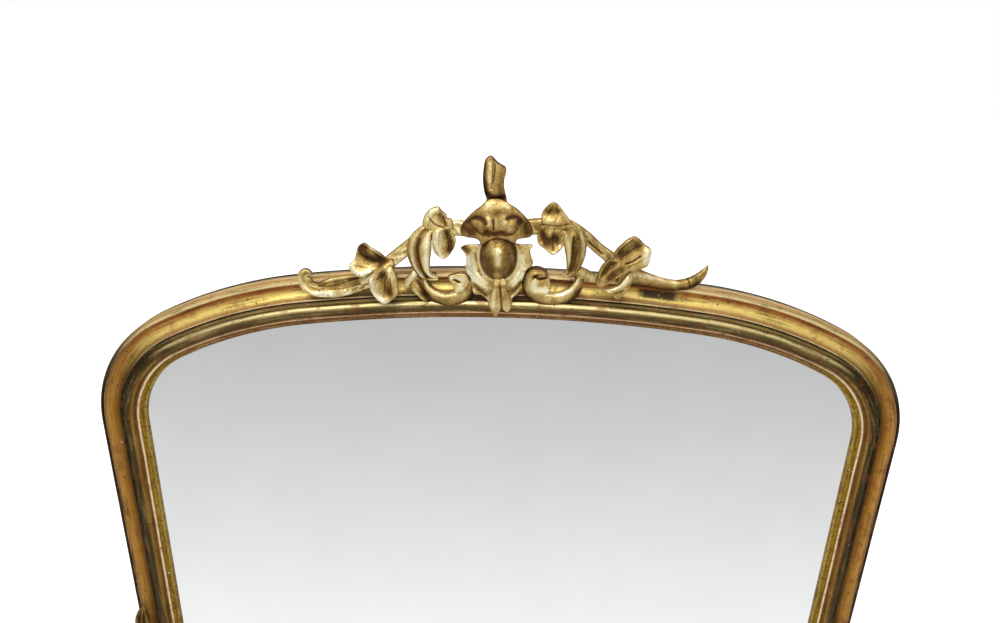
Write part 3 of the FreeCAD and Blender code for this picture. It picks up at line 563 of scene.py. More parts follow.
pockets = dict(
    hanger=dict(x=588.0, halfWidth=18.5, low=691.5, high=771.5, depth=7.5),
    stay=dict(x=-9.5, halfWidth=16.2, low=apexZ - 40.2, high=apexZ + 5, depth=12.2))


def arcThrough(start, middle, end, count):
    # circle through three places: its centre is as far from each of them
    a, b, c = (np.array(p, float) for p in (start, middle, end))
    centre = np.linalg.solve(2 * np.array([b - a, c - a]), [b @ b - a @ a, c @ c - a @ a])
    turns = np.unwrap([math.atan2(*(p - centre)[::-1]) for p in (a, b, c)])
    t = np.linspace(turns[0], turns[2], count)
    return centre + np.linalg.norm(a - centre) * np.stack([np.cos(t), np.sin(t)], -1)


def sampledLine(steps, spacing):
    # each step is a corner, or an arc's middle and end; points lie about spacing apart
    runs, here = [], np.array(steps[0], float)
    for step in steps[1:]:
        isArc = isinstance(step[0], tuple)
        there = np.array(step[1] if isArc else step, float)
        longer = 1.2 if isArc else 1.0  # an arc against its chord
        count = max(3, round(np.linalg.norm(there - here) * longer / spacing) + 1)
        if isArc:
            run = arcThrough(here, step[0], there, count)
        else:
            run = np.linspace(here, there, count)
        runs.append(run[:-1])
        here = there
    return np.concatenate(runs + [here[None]])


def wornEdges(line, rounds):
    # corners rubbed round: each point moves halfway to the middle of its neighbours
    line = line.copy()
    for turn in range(rounds):
        line[1:-1] += 0.25 * (line[:-2] + line[2:] - 2 * line[1:-1])
    return line


def hollowSection():
    # front of the outer frame from the wall over lip and cove to the slip's seat, then its back
    p = hollowMoulding
    front = sampledLine([
        (0, 0), (0, p["side"]), (p["roundOver"], p["lip"]), p["lipEnd"], (p["coveFloor"], p["coveEdge"]),
        (p["coveEnd"], p["coveEdge"][1]), (p["coveEnd"], p["seat"])], p["spacing"])
    back = np.array([
        (p["rebate"], p["seat"]), (p["rebate"], p["ledge"]), (p["boardLine"], p["ledge"]),
        (p["boardLine"], 0)])
    return wornEdges(front, p["wear"]), back


def slipSection():
    # front of the slip: fillet, burnished round, bead and sight bevel, then its flat back
    p = slipMoulding
    front = sampledLine([
        (p["start"], p["seat"]), (p["start"], p["fillet"]), (p["torusStart"], p["fillet"]),
        (p["torusTop"], (p["torusEnd"], p["fillet"])), (p["beadStart"], p["fillet"]),
        (p["beadTop"], (p["beadEnd"], p["fillet"])), p["sight"], (p["sight"][0], p["seat"])], p["spacing"])
    return wornEdges(front, p["wear"]), np.array([(p["backMiddle"], p["seat"])])


def archCentres():
    # the crown's circle meets the haunch's, and that the shoulder's, with one tangent at each meeting
    crownTurn, turn = arch["crownTurn"], arch["crownTurn"] + arch["haunchTurn"]
    haunchRadius, shoulderRadius = arch["haunchRadius"], arch["shoulderRadius"]
    reach = arch["halfWidth"] - shoulderRadius
    reach -= (haunchRadius - shoulderRadius) * math.sin(turn)
    crownRadius = haunchRadius + reach / math.sin(crownTurn)
    crown = np.array([0.0, arch["height"] - crownRadius])
    haunch = crown + (crownRadius - haunchRadius) * np.array([math.sin(crownTurn), math.cos(crownTurn)])
    shoulder = haunch + (haunchRadius - shoulderRadius) * np.array([math.sin(turn), math.cos(turn)])
    return (crown, crownRadius), (haunch, haunchRadius), (shoulder, shoulderRadius)


def arcRun(centre, radius, start, end):
    # places on the outer line, and the way inward: both turn with the angle from the vertical
    count = max(2, round(radius * abs(end - start) / arch["step"]) + 1)
    t = np.linspace(start, end, count)
    away = np.stack([np.sin(t), np.cos(t)], -1)
    return centre + radius * away, -away


def memberRuns():
    # outer line, way inward and the mitre's pull at each end, for the pieces of the right half
    crown, haunch, shoulder = archCentres()
    a, b = arch["crownTurn"], arch["crownTurn"] + arch["haunchTurn"]
    upper, lower = arcRun(*haunch, a, b), arcRun(*shoulder, b, math.pi / 2)
    joined = [np.concatenate([one[:-1], other]) for one, other in zip(upper, lower)]
    height, half = shoulder[0][1], arch["halfWidth"]
    down = np.linspace(height, 0, round(height / arch["step"]) + 1)
    x = np.full_like(down, half)
    stile = np.stack([x, down], -1), np.stack([x * 0 - 1, x * 0], -1)
    sweep = np.linspace(half, -half, round(2 * half / arch["step"]) + 1)
    bottom = np.stack([sweep, sweep * 0], -1), np.stack([sweep * 0, sweep * 0 + 1], -1)
    return {
        "crown": (*arcRun(*crown, -a, a), 0, 0), "shoulder": (*joined, 0, 0),
        "stile": (*stile, 0, 1), "bottom": (*bottom, 1, 1)}


def mouldingPiece(node, section, run, side, finish):
    # place = outer line + u inward, drawn back along the line by u at a mitred end; v forward, with two
    # slight waves along the front
    front, back = section
    line, inward, startMitre, endMitre = run
    loop = np.concatenate([front, back])
    isFront = np.arange(len(loop)) < len(front)
    steps = np.linalg.norm(np.diff(line, axis=0), axis=1)
    along = np.concatenate([[0], np.cumsum(steps)])
    share = along / along[-1]
    forward = np.gradient(line, axis=0)
    forward /= np.linalg.norm(forward, axis=1)[:, None]
    u, v = loop.T
    pull = u * ((1 - share) * startMitre - share * endMitre)[:, None]
    flat = line[:, None] + u[:, None] * inward[:, None] + pull[..., None] * forward[:, None]
    length = along[:, None] + pull
    wave = sum(
        rise * np.sin(length / reach + u / lean + start)
        for rise, reach, lean, start in (waves["long"], waves["short"]))
    depth = v + wave * (isFront & (v > waves["above"]))
    rings = toFrame(side * flat[..., 0], flat[..., 1], depth)
    piece = newPiece(node + "_gilded", [closedShell(rings, True)], finish, node)
    # on the outer side face the place across is the depth below its front edge
    across = np.where((u <= 0.01) & isFront, v - hollowMoulding["side"], u)
    setAttribute(piece.data, "across", np.broadcast_to(across, depth.shape))
    setAttribute(piece.data, "along", length)
    setAttribute(piece.data, "gilt", np.broadcast_to(isFront * 1.0, depth.shape))
    setAttribute(piece.data, "steep", np.broadcast_to(inward[:, :1] ** 2, depth.shape))
    piece.data.shade_smooth()
    piece.data.set_sharp_from_angle(angle=arch["sharpTurn"])
    return piece


def cutPocket(piece, x, halfWidth, low, high, depth, proud=5.0):
    # a square pocket in the back, cut by a box that stands proud of the wall face
    left, right = x - halfWidth, x + halfWidth
    square = np.array([(left, high), (right, high), (right, low), (left, low)])
    flat = np.stack([square, square])
    box = closedShell(toFrame(flat[..., 0], flat[..., 1], np.array([[-proud], [depth]])), True)
    cutter = newObject("pocket", newMesh("pocket", [box]))
    cut = piece.modifiers.new("pocket", "BOOLEAN")
    cut.object = cutter
    cut.solver = "EXACT"
    applyModifiers(piece)
    bpy.data.objects.remove(cutter)


sections = {
    "frame": (hollowSection(), frameGold, "gilded_moulding"),
    "slip": (slipSection(), slipGold, "burnished_gilding")}
for part, (section, finish, slot) in sections.items():
    for word, run in memberRuns().items():
        sides = {"": 1} if word in ("crown", "bottom") else {"left_": -1, "right_": 1}
        for sideWord, side in sides.items():
            piece = mouldingPiece(part + "_" + sideWord + word, section, run, side, finish)
            if part == "frame" and word == "stile":
                cutPocket(piece, **{**pockets["hanger"], "x": side * pockets["hanger"]["x"]})
            if part == "frame" and word == "crown":
                cutPocket(piece, **pockets["stay"])
print("frame and slip made")

# Carved forms

layers = dict(crestBack=39.3, crestFront=47.8, tailBack=28.8, scrollBack=31.3)
crestMiddle = -9.5
grid = dict(across=45, under=13, curve=200, ring=220, front=46, roll=8, back=6)


def onCrest(x, z):
    # from the crest's middle line and the arch's top
    return x + crestMiddle, z + apexZ


def lineGap(x, z, points):
    # distance from a bent line through the points
    nearest = np.full(np.shape(x), 1e6)
    for a, b in zip(points[:-1], points[1:]):
        stepX, stepZ = b[0] - a[0], b[1] - a[1]
        t = np.clip(((x - a[0]) * stepX + (z - a[1]) * stepZ) / (stepX ** 2 + stepZ ** 2), 0, 1)
        nearest = np.minimum(nearest, np.hypot(x - a[0] - t * stepX, z - a[1] - t * stepZ))
    return nearest


def withCuts(f, x, z, cuts):
    # ridges and grooves along smooth lines: each cut is its points, half width and amount
    for points, width, amount in cuts:
        f = f + amount * gauss(lineGap(x, z, splineThrough(points, 4 * len(points))), 0, width)
    return f


def frond(stations, back, section, place=onCrest, along=120, mirror=1, ripple=0.0):
    # a line through stations of x, z, width and height carries a section: v = back + height * f(q) for q
    # from -1 to 1 across, where f runs smoothly through the section's points
    line = splineThrough(stations, along)
    slope = np.gradient(line[:, :2], axis=0)
    slope /= np.linalg.norm(slope, axis=1)[:, None]
    q = np.sin(np.linspace(-math.pi / 2, math.pi / 2, grid["across"]))
    curve = splineThrough(section, grid["curve"])
    t = np.linspace(0, 1, along)[:, None]
    f = np.interp(q, curve[:, 0], curve[:, 1]) * (1 + ripple * np.sin(t * 46 + 5 * q))
    side = np.stack([-slope[:, 1], slope[:, 0]], -1)
    share = np.concatenate([q, np.linspace(0.88, -0.88, grid["under"])])
    offset = share * line[:, 2:3] / 2
    x, z = place(line[:, :1] + offset * side[:, :1], line[:, 1:2] + offset * side[:, 1:])
    v = np.concatenate([back + line[:, 3:4] * f, np.full((along, grid["under"]), back)], 1)
    return closedShell(toFrame(mirror * x, z, v))


def carvedFace(outline, back, height, relief, middle=None, place=onCrest, roll=0.08, foot=0.9, keep=0.5,
               tension=0.0, mirror=1):
    # rings drawn in towards a middle: the front stands at height * relief(share, x, z), the rim rolls over,
    # and the side runs in to the foot at the back
    ring = splineThrough(outline, grid["ring"], True, tension)
    middle = ring.mean(0) if middle is None else np.array(middle, float)
    fronts, backs = grid["front"], grid["back"]
    bend = np.linspace(0, math.pi / 2, grid["roll"])[1:]
    shares = np.concatenate([
        np.linspace(0.015, 1 - roll, fronts), 1 - roll + roll * np.sin(bend), np.linspace(foot, 0.05, backs)])
    flat = middle + shares[:, None, None] * (ring - middle)
    x, z = flat[..., 0], flat[..., 1]
    front = height * relief(np.minimum(shares, 1 - roll)[:, None], x, z)
    drop = np.concatenate([np.ones(fronts), 1 - (1 - keep) * (1 - np.cos(bend)), np.zeros(backs)])
    edge = np.broadcast_to(front[fronts - 1:fronts], front.shape)
    isFront = (np.arange(len(shares)) < fronts)[:, None]
    v = back + np.where(isFront, front, edge * drop[:, None])
    x, z = place(x, z)
    return closedShell(toFrame(mirror * x, z, v))


def lobe(outline, cuts=(), base=(0.75, 0.6), back=layers["crestFront"], height=13.0, middle=None, roll=0.08,
         place=onCrest, mirror=1):
    # a cushion that falls from its middle to its rim, with ridges and grooves along lines
    def relief(share, x, z):
        return np.clip(withCuts(base[1] + (base[0] - base[1]) * (1 - share ** 2), x, z, cuts), 0.1, 1.06)
    return carvedFace(outline, back, height, relief, middle, place, roll, foot=0.76, mirror=mirror)


def spiralBand(centre, radius, start, turns, width, height, back, section, shrink, **rest):
    # a band whose middle line winds in from a radius, thinning on the way
    t = np.linspace(0, 1, 26)
    angle = math.radians(start) + turns * 2 * math.pi * t
    r = radius * (1 - (1 - shrink) * t)
    x, z = centre[0] + r * np.cos(angle), centre[1] + r * np.sin(angle)
    stations = np.stack([x, z, width * (1 - 0.5 * t), height * (1 - 0.25 * t)], -1)
    return frond(stations, back, section, along=200, **rest)


# Crest: outlines, stations and cuts from its middle line and the arch's top, as x, z

front = layers["crestFront"]
# each piece's tone strokes are painted highlights and painted shade, and its offset one level for them all
cartouche = dict(
    thickness=8.5, middle=(-3, 30), offset=0.07, edge=dict(roll=0.04, foot=0.94, tension=0.3), outline=[
        (18, -42), (20, -34), (29, -24), (33, -7), (38, 9), (45, 14), (47, 20), (44, 28), (42, 37),
        (45, 45), (28, 45), (20, 49), (24, 58), (34, 70), (26, 86), (10, 97), (2, 104), (2, 126),
        (-15, 126), (-15, 104), (-20, 97), (-38, 76), (-30, 58), (-25, 46), (-30, 43), (-46, 42), (-53, 38),
        (-47, 30), (-45, 22), (-46, 13), (-45, 3), (-39, -5), (-35, -27), (-25, -30), (-15, -37),
        (-11, -44)],
    cuts=[
        ([(-33, 30), (-31, 18), (-27, 6)], 2.0, -0.2),
        ([(31, 32), (30, 20), (27, 8)], 2.0, -0.16),
        ([(-50, 38), (-43, 28), (-40, 14), (-40, 4)], 3.6, 0.34), ([(-38, 0), (-16, -22)], 4.0, 0.42),
        ([(-37, -15), (-20, -30)], 4.0, -0.28), ([(43, 42), (39, 34), (42, 20), (35, 6)], 3.6, 0.34),
        ([(33, 2), (24, -10), (17, -20)], 4.0, 0.4), ([(32, -10), (20, -27)], 3.4, -0.3)],
    paintedLightStrokes=[
        ([(-43, 26), (-38, 6), (-26, -8)], 8.0, 0.38), ([(-50, 40), (-43, 33)], 5.0, -0.42),
        ([(29, 28), (29, 8), (20, -8)], 5.5, 0.3), ([(40, 40), (42, 24)], 6.0, -0.06),
        ([(-33, -14), (-18, -28)], 4.5, -0.3), ([(20, -20), (31, -10)], 5.0, -0.32),
        ([(-29, 6), (-24, 0)], 1.2, -0.4), ([(-30, 50), (24, 51)], 5.0, -0.1)])
hood = dict(
    thickness=13.8, middle=(-4, 78), offset=-0.1, edge=dict(roll=0.07, foot=0.86, tension=0.1), outline=[
        (6, 106), (12, 102), (22, 96), (31, 88), (39, 79), (43, 70), (44, 64), (41, 58), (32, 56), (24, 54),
        (20, 49), (10, 53), (-4, 55), (-16, 51), (-24, 45), (-28, 51), (-34, 54), (-44, 55), (-51, 58),
        (-53, 65), (-50, 74), (-43, 83), (-34, 92), (-25, 99), (-19, 105), (-14, 108), (-4, 109)],
    cuts=[
        ([(-45, 77), (-37, 82), (-30, 83), (-23, 81), (-19, 76)], 3.6, -0.2),
        ([(-41, 75), (-34, 69), (-28, 64), (-22, 60), (-16, 58)], 3.6, -0.12),
        ([(-47, 68), (-39, 63)], 7.0, -0.16), ([(9, 83), (16, 85), (24, 84), (26, 79)], 3.4, -0.16),
        ([(26, 79), (24, 73), (21, 67), (15, 62), (7, 61)], 3.6, -0.12), ([(33, 75), (36, 65)], 6.0, -0.16),
        ([(-9, 80), (-9, 67)], 1.8, -0.1), ([(-17, 64), (-9, 61), (2, 63)], 4.6, -0.18),
        ([(-20, 109), (-6, 110), (8, 109)], 4.0, -0.3)],
    bulges=((-24, 72, 7.0, 0.2), (-16, 79, 5.0, 0.08), (5, 81, 6.0, 0.1), (15.5, 73, 8.0, 0.18)),
    paintedLightStrokes=[
        ([(-17, 99), (7, 100)], 5.0, 0.2), ([(-7, 91), (-3, 91)], 4.0, -0.08),
        ([(-45, 76), (-37, 81), (-30, 82), (-23, 80), (-19, 76)], 3.6, -0.2),
        ([(-41, 75), (-34, 69), (-28, 64), (-22, 60), (-16, 58)], 3.2, -0.08),
        ([(-48, 69), (-38, 62)], 8.0, -0.26), ([(-17, 83), (-15, 75)], 3.0, 0.24),
        ([(-8.8, 80), (-8.6, 67)], 1.1, -0.22), ([(-6, 84), (-5.8, 73)], 1.4, 0.22),
        ([(5, 86), (5, 77)], 3.2, 0.26), ([(9, 83), (16, 85), (24, 84), (26, 79)], 3.4, -0.2),
        ([(26, 79), (24, 73), (21, 67), (15, 62), (7, 61)], 3.0, -0.1), ([(33, 76), (36, 65)], 8.0, -0.28),
        ([(-17, 65), (-9, 61), (2, 63)], 4.5, -0.2), ([(14, 68), (17, 67)], 4.0, 0.12)])
cabochon = dict(
    middle=(-1, 27), half=(25, 32), rise=13.8, seat=4.0, thickness=17.8, offset=-0.1,
    edge=dict(roll=0.005, foot=0.98, keep=0.9), paintedLightStrokes=[
        ([(-2, 38), (-1, 22)], 5.5, 0.42), ([(-12, 50), (-10, 36)], 4.5, 0.16),
        ([(-2, 4), (-1, -1)], 5.0, 0.16), ([(-8, 57), (10, 56)], 6.0, -0.22)])
finial = dict(
    thickness=13.0, middle=(-9, 134), offset=-0.1, edge=dict(roll=0.1, foot=0.85),
    sideEdge=([106, 117, 124, 136, 156, 166], [-11, -13, -15.5, -18, -21.5, -18]), outline=[
        (7, 101), (8, 107), (6.5, 114), (4, 124), (4, 134), (6, 143), (6, 148), (4, 151.5), (0, 153.5),
        (-6, 157.5), (-11, 162.5), (-14, 164.6), (-18.5, 162.5), (-22, 157), (-24, 142), (-24, 129),
        (-22, 116), (-19.5, 108), (-17, 101)],
    cuts=[
        ([(-10.5, 159), (-11.5, 143), (-13, 122)], 1.0, -0.1), ([(-16, 152), (-15, 132)], 3.0, 0.14),
        ([(-18, 111), (-11, 108), (-1, 108)], 4.0, -0.3)],
    paintedLightStrokes=[
        ([(-14, 155), (-15, 138), (-14, 122)], 3.2, 0.16),
        ([(-22, 154), (-23, 136), (-20, 114)], 3.0, -0.4), ([(-19, 114), (-10, 109), (2, 110)], 4.6, -0.5),
        ([(-8.5, 154), (-9, 142), (-11, 130)], 0.8, -0.4), ([(-11, 162), (-5, 156), (4, 151)], 1.6, -0.3),
        ([(1, 148), (-1, 118)], 5.0, -0.1)])


def cartoucheRelief(share, x, z):
    # a plate with a rim round the boss, grooves beside it and folds under it
    (middleX, middleZ), (halfX, halfZ) = cabochon["middle"], cabochon["half"]
    ring = np.hypot((x - middleX) / halfX, (z - middleZ) / halfZ)
    f = 0.66 + 0.34 * gauss(ring, 1.08, 0.09)
    return np.clip(withCuts(f, x, z, cartouche["cuts"]), 0.2, 1.0)


def hoodRelief(share, x, z):
    # a dome whose brow curls down in two volutes: hollows sweep out to the tips round a knob, and bulges
    # stand in the middle
    f = withCuts(0.66 + 0.2 * (1 - share ** 2), x, z, hood["cuts"])
    for middleX, middleZ, radius, rise in hood["bulges"]:
        f = f + rise * gauss(np.hypot(x - middleX, z - middleZ), 0, radius)
    return np.clip(f, 0.12, 1.0)


def finialRelief(share, x, z):
    # two facets that meet in a crack and end in a gouge; the left flank falls away
    flank = np.interp(z, *finial["sideEdge"]) - x
    f = 0.92 - 0.006 * (x + 12) - 0.55 * ease(0, 7, flank)
    gouge = ease(108, 117, z - 0.3 * x)
    return np.clip(withCuts(f * (0.5 + 0.5 * gouge), x, z, finial["cuts"]), 0.12, 1.0)


def cabochonRelief(share, x, z):
    # half an ellipsoid on a low collar, a little uneven from the burnisher
    seat, rise = cabochon["seat"], cabochon["rise"]
    dent = 0.012 * np.sin(x / 4.1 + 1) * np.cos(z / 5.3)
    return (seat + rise * np.sqrt(1 - (share / 1.001) ** 2)) / (seat + rise) + dent


def circle(x, z, radius, count=40):
    # points evenly round a middle
    t = np.linspace(0, 2 * math.pi, count, endpoint=False)
    return np.stack([x + radius * np.cos(t), z + radius * np.sin(t)], -1)


unit = circle(0, 0, 1, 24)
unit[:, 0] *= 1 + 0.06 * unit[:, 1]  # a little wider above its middle
cabochon["outline"] = np.array(cabochon["middle"]) + unit * cabochon["half"]
for word, one, back, relief, finish in (
        ("cartouche", cartouche, layers["crestBack"], cartoucheRelief, carvedGold),
        ("hood", hood, front, hoodRelief, carvedGold), ("finial", finial, front, finialRelief, carvedGold),
        ("cabochon", cabochon, front - cabochon["seat"], cabochonRelief, bossGold)):
    face = carvedFace(one["outline"], back, one["thickness"], relief, one["middle"], **one["edge"])
    carvedPiece("crest_" + word, [face], finish, paintedLightStrokes=one["paintedLightStrokes"], offset=one["offset"])
print("cartouche, hood, finial and boss carved")

# Sections go from -1 on the right of the way the line runs to 1 on its left
sectionsOf = dict(
    drop=[(-1, 0.2), (-0.6, 0.75), (-0.1, 1), (0.5, 0.85), (1, 0.2)],
    stem=[(-1, 0.4), (-0.75, 0.9), (-0.3, 0.86), (0.1, 0.92), (0.5, 1), (0.8, 0.9), (1, 0.4)],
    leftCrescent=[
        (-1, 0.25), (-0.75, 0.62), (-0.5, 0.82), (-0.38, 0.58), (-0.18, 0.4), (0.02, 0.5), (0.22, 0.85),
        (0.55, 1), (0.85, 0.9), (1, 0.5)],
    rightCrescent=[
        (-1, 0.5), (-0.85, 0.9), (-0.55, 1), (-0.28, 0.7), (-0.1, 0.55), (0.2, 0.64), (0.38, 0.66),
        (0.53, 0.9), (0.66, 0.6), (0.85, 0.4), (1, 0.2)],
    leftTail=[
        (-1, 0.35), (-0.86, 0.72), (-0.62, 0.62), (-0.36, 0.7), (-0.14, 0.62), (0.06, 0.68), (0.26, 0.92),
        (0.6, 1), (0.85, 0.85), (1, 0.35)],
    rightTail=[(-1, 0.2), (-0.7, 0.45), (-0.3, 0.6), (0.1, 0.85), (0.5, 1), (0.8, 0.8), (1, 0.4)],
    leftBand=[(-1, 0.2), (-0.6, 0.58), (-0.2, 0.8), (0.1, 0.92), (0.4, 1), (0.75, 0.92), (1, 0.5)],
    rightBand=[(-1, 0.5), (-0.75, 0.92), (-0.4, 1), (-0.1, 0.92), (0.2, 0.8), (0.6, 0.58), (1, 0.2)])
pendant = [
    dict(outline=[(-6, -3), (-8, -18), (-12, -30), (-13.5, -38), (-11, -47), (-7, -55), (-3, -58.5),
                  (1, -54), (4, -46), (5.5, -36), (4, -22), (2, -3)], base=(0.86, 0.6),
         cuts=[([(-4, -14), (-6, -38), (-3, -54)], 4.0, 0.14)]),
    dict(outline=[(2, -3), (9, -3), (13, -20), (18.5, -33), (19.5, -41), (17, -48), (13, -51), (8, -48),
                  (5, -41), (3, -28)],
         base=(0.8, 0.6), cuts=[([(8, -12), (13, -34), (13, -46)], 4.0, 0.14)])]
# painted highlights and painted shade on the pendant's lobes
pendantPaintedLight = [
    ([(-6, -20), (-7, -42)], 3.0, 0.2), ([(2, -14), (4, -30), (5, -42)], 1.5, -0.24),
    ([(13, -24), (14, -44)], 3.0, 0.02), ([(-8, -13), (12, -12)], 3.0, -0.12)]
stems = dict(
    left=[(-44, 64, 22, 9), (-62, 65, 22, 9), (-86, 60, 20, 9), (-112, 46, 19, 9), (-138, 25, 19, 9),
          (-152, 13, 19, 9)],
    right=[(38, 69, 23, 9), (58, 71, 23, 9), (88, 73, 19, 9), (114, 59, 17, 9), (136, 41, 16, 8.5),
           (156, 27, 18, 9)])
crescents = dict(
    left=[(-92, 67, 12, 8), (-100, 60, 22, 10), (-107, 46, 33, 12), (-109, 32, 34, 12.5),
          (-107, 17, 28, 12.5), (-102, 4, 20, 11), (-94, -3, 12, 7.5), (-83, -6, 4, 3)],
    right=[(82, 73, 14, 8), (93, 69, 25, 10), (100, 57, 31, 12), (103, 42, 30, 12.5), (103, 27, 25, 12.5),
           (100, 14, 18, 10), (93, 6, 10, 6), (85, 4, 3, 2)])
tails = dict(
    left=[(-160, -3, 20, 22), (-182, -14, 22, 20), (-204, -21, 28, 14.5), (-222, -26, 31, 12.5),
          (-237, -29, 29, 12), (-252, -32, 22, 11), (-264, -29, 20, 10.5), (-271, -21, 20, 10),
          (-273, -13, 18, 9.5), (-270, -8, 15, 9), (-266, -8, 11, 8), (-263, -10, 6, 6)],
    right=[(168, 4, 26, 20), (186, 0, 29, 18), (204, -4, 24, 14), (218, -7, 20, 12), (233, -10.5, 19, 11),
           (248, -11.5, 17, 10), (264, -9, 18, 10), (276, -3, 17, 9), (284, 5, 13, 7), (289, 13, 7, 4),
           (291, 19, 2, 1.5)])
# the crest's left half painted a little lighter than its right
crestOffsets = dict(left=0.08, right=-0.02)
# painted highlights and painted shade along the stems, crescents and tails
frondPaintedLight = dict(
    left_crescent=[
        ([(-121, 50), (-123, 35), (-118, 13), (-109, -2)], 2.5, -0.12),
        ([(-113, 50), (-116.5, 35), (-113, 13), (-105, 0)], 1.6, 0.25),
        ([(-107.7, 50), (-110.5, 35), (-106.4, 13), (-99, -2)], 3.2, -0.32),
        ([(-99, 56), (-98.5, 35), (-97, 13), (-89, -3)], 4.0, 0.18)],
    right_crescent=[
        ([(96, 62), (94, 50), (93, 29), (89, 6)], 3.5, 0.18),
        ([(99, 60), (98.4, 50), (97.6, 29), (95, 14)], 1.6, -0.35),
        ([(104, 61), (105, 39), (102, 16)], 5.0, -0.24), ([(108, 66), (113, 50), (113, 32)], 1.6, 0.3)],
    left_tail=[
        ([(-264, -20), (-240, -22), (-215, -16), (-190, -10)], 3.0, -0.24),
        ([(-255, -36), (-235, -36), (-210, -32)], 4.0, 0.14),
        ([(-252, -26), (-228, -23), (-196, -11)], 0.9, -0.3),
        ([(-240, -30), (-216, -27), (-192, -18)], 0.8, -0.22), ([(-216, -33), (-209, -28)], 0.8, -0.34),
        ([(-203, -28), (-196, -23)], 0.8, -0.34), ([(-192, -24), (-186, -20)], 0.8, -0.3)],
    right_tail=[
        ([(180, -10), (205, -14), (235, -19), (264, -16), (278, -8)], 4.4, -0.42),
        ([(263, 1), (268, -12)], 1.4, -0.3), ([(185, 8), (215, 2), (245, -4)], 3.4, 0.2),
        ([(272, 0), (285, 8)], 3.0, -0.1)],
    left_stem=[([(-58, 76), (-84, 71), (-112, 57)], 2.0, 0.15), ([(-118, 38), (-130, 30)], 1.4, -0.3)],
    right_stem=[([(120, 52), (140, 36)], 1.4, -0.3), ([(60, 62), (80, 64)], 2.0, -0.15)])
fronds = dict(
    stem=(stems, layers["crestBack"], 0.05), crescent=(crescents, front, 0.0),
    tail=(tails, layers["tailBack"], 0.03))
drops = [lobe(**one, roll=0.14, height=8.5) for one in pendant]
carvedPiece("crest_pendant", drops, carvedGold, paintedLightStrokes=pendantPaintedLight)
for word in ("left", "right"):
    for kind, (stations, back, ripple) in fronds.items():
        node = word + "_" + kind
        section = sectionsOf.get(word + kind.capitalize(), sectionsOf["stem"])
        shell = frond(stations[word], back, section, ripple=ripple)
        carvedPiece("crest_" + node, [shell], carvedGold, paintedLightStrokes=frondPaintedLight[node], offset=crestOffsets[word])
print("pendant, stems, crescents and tails carved")

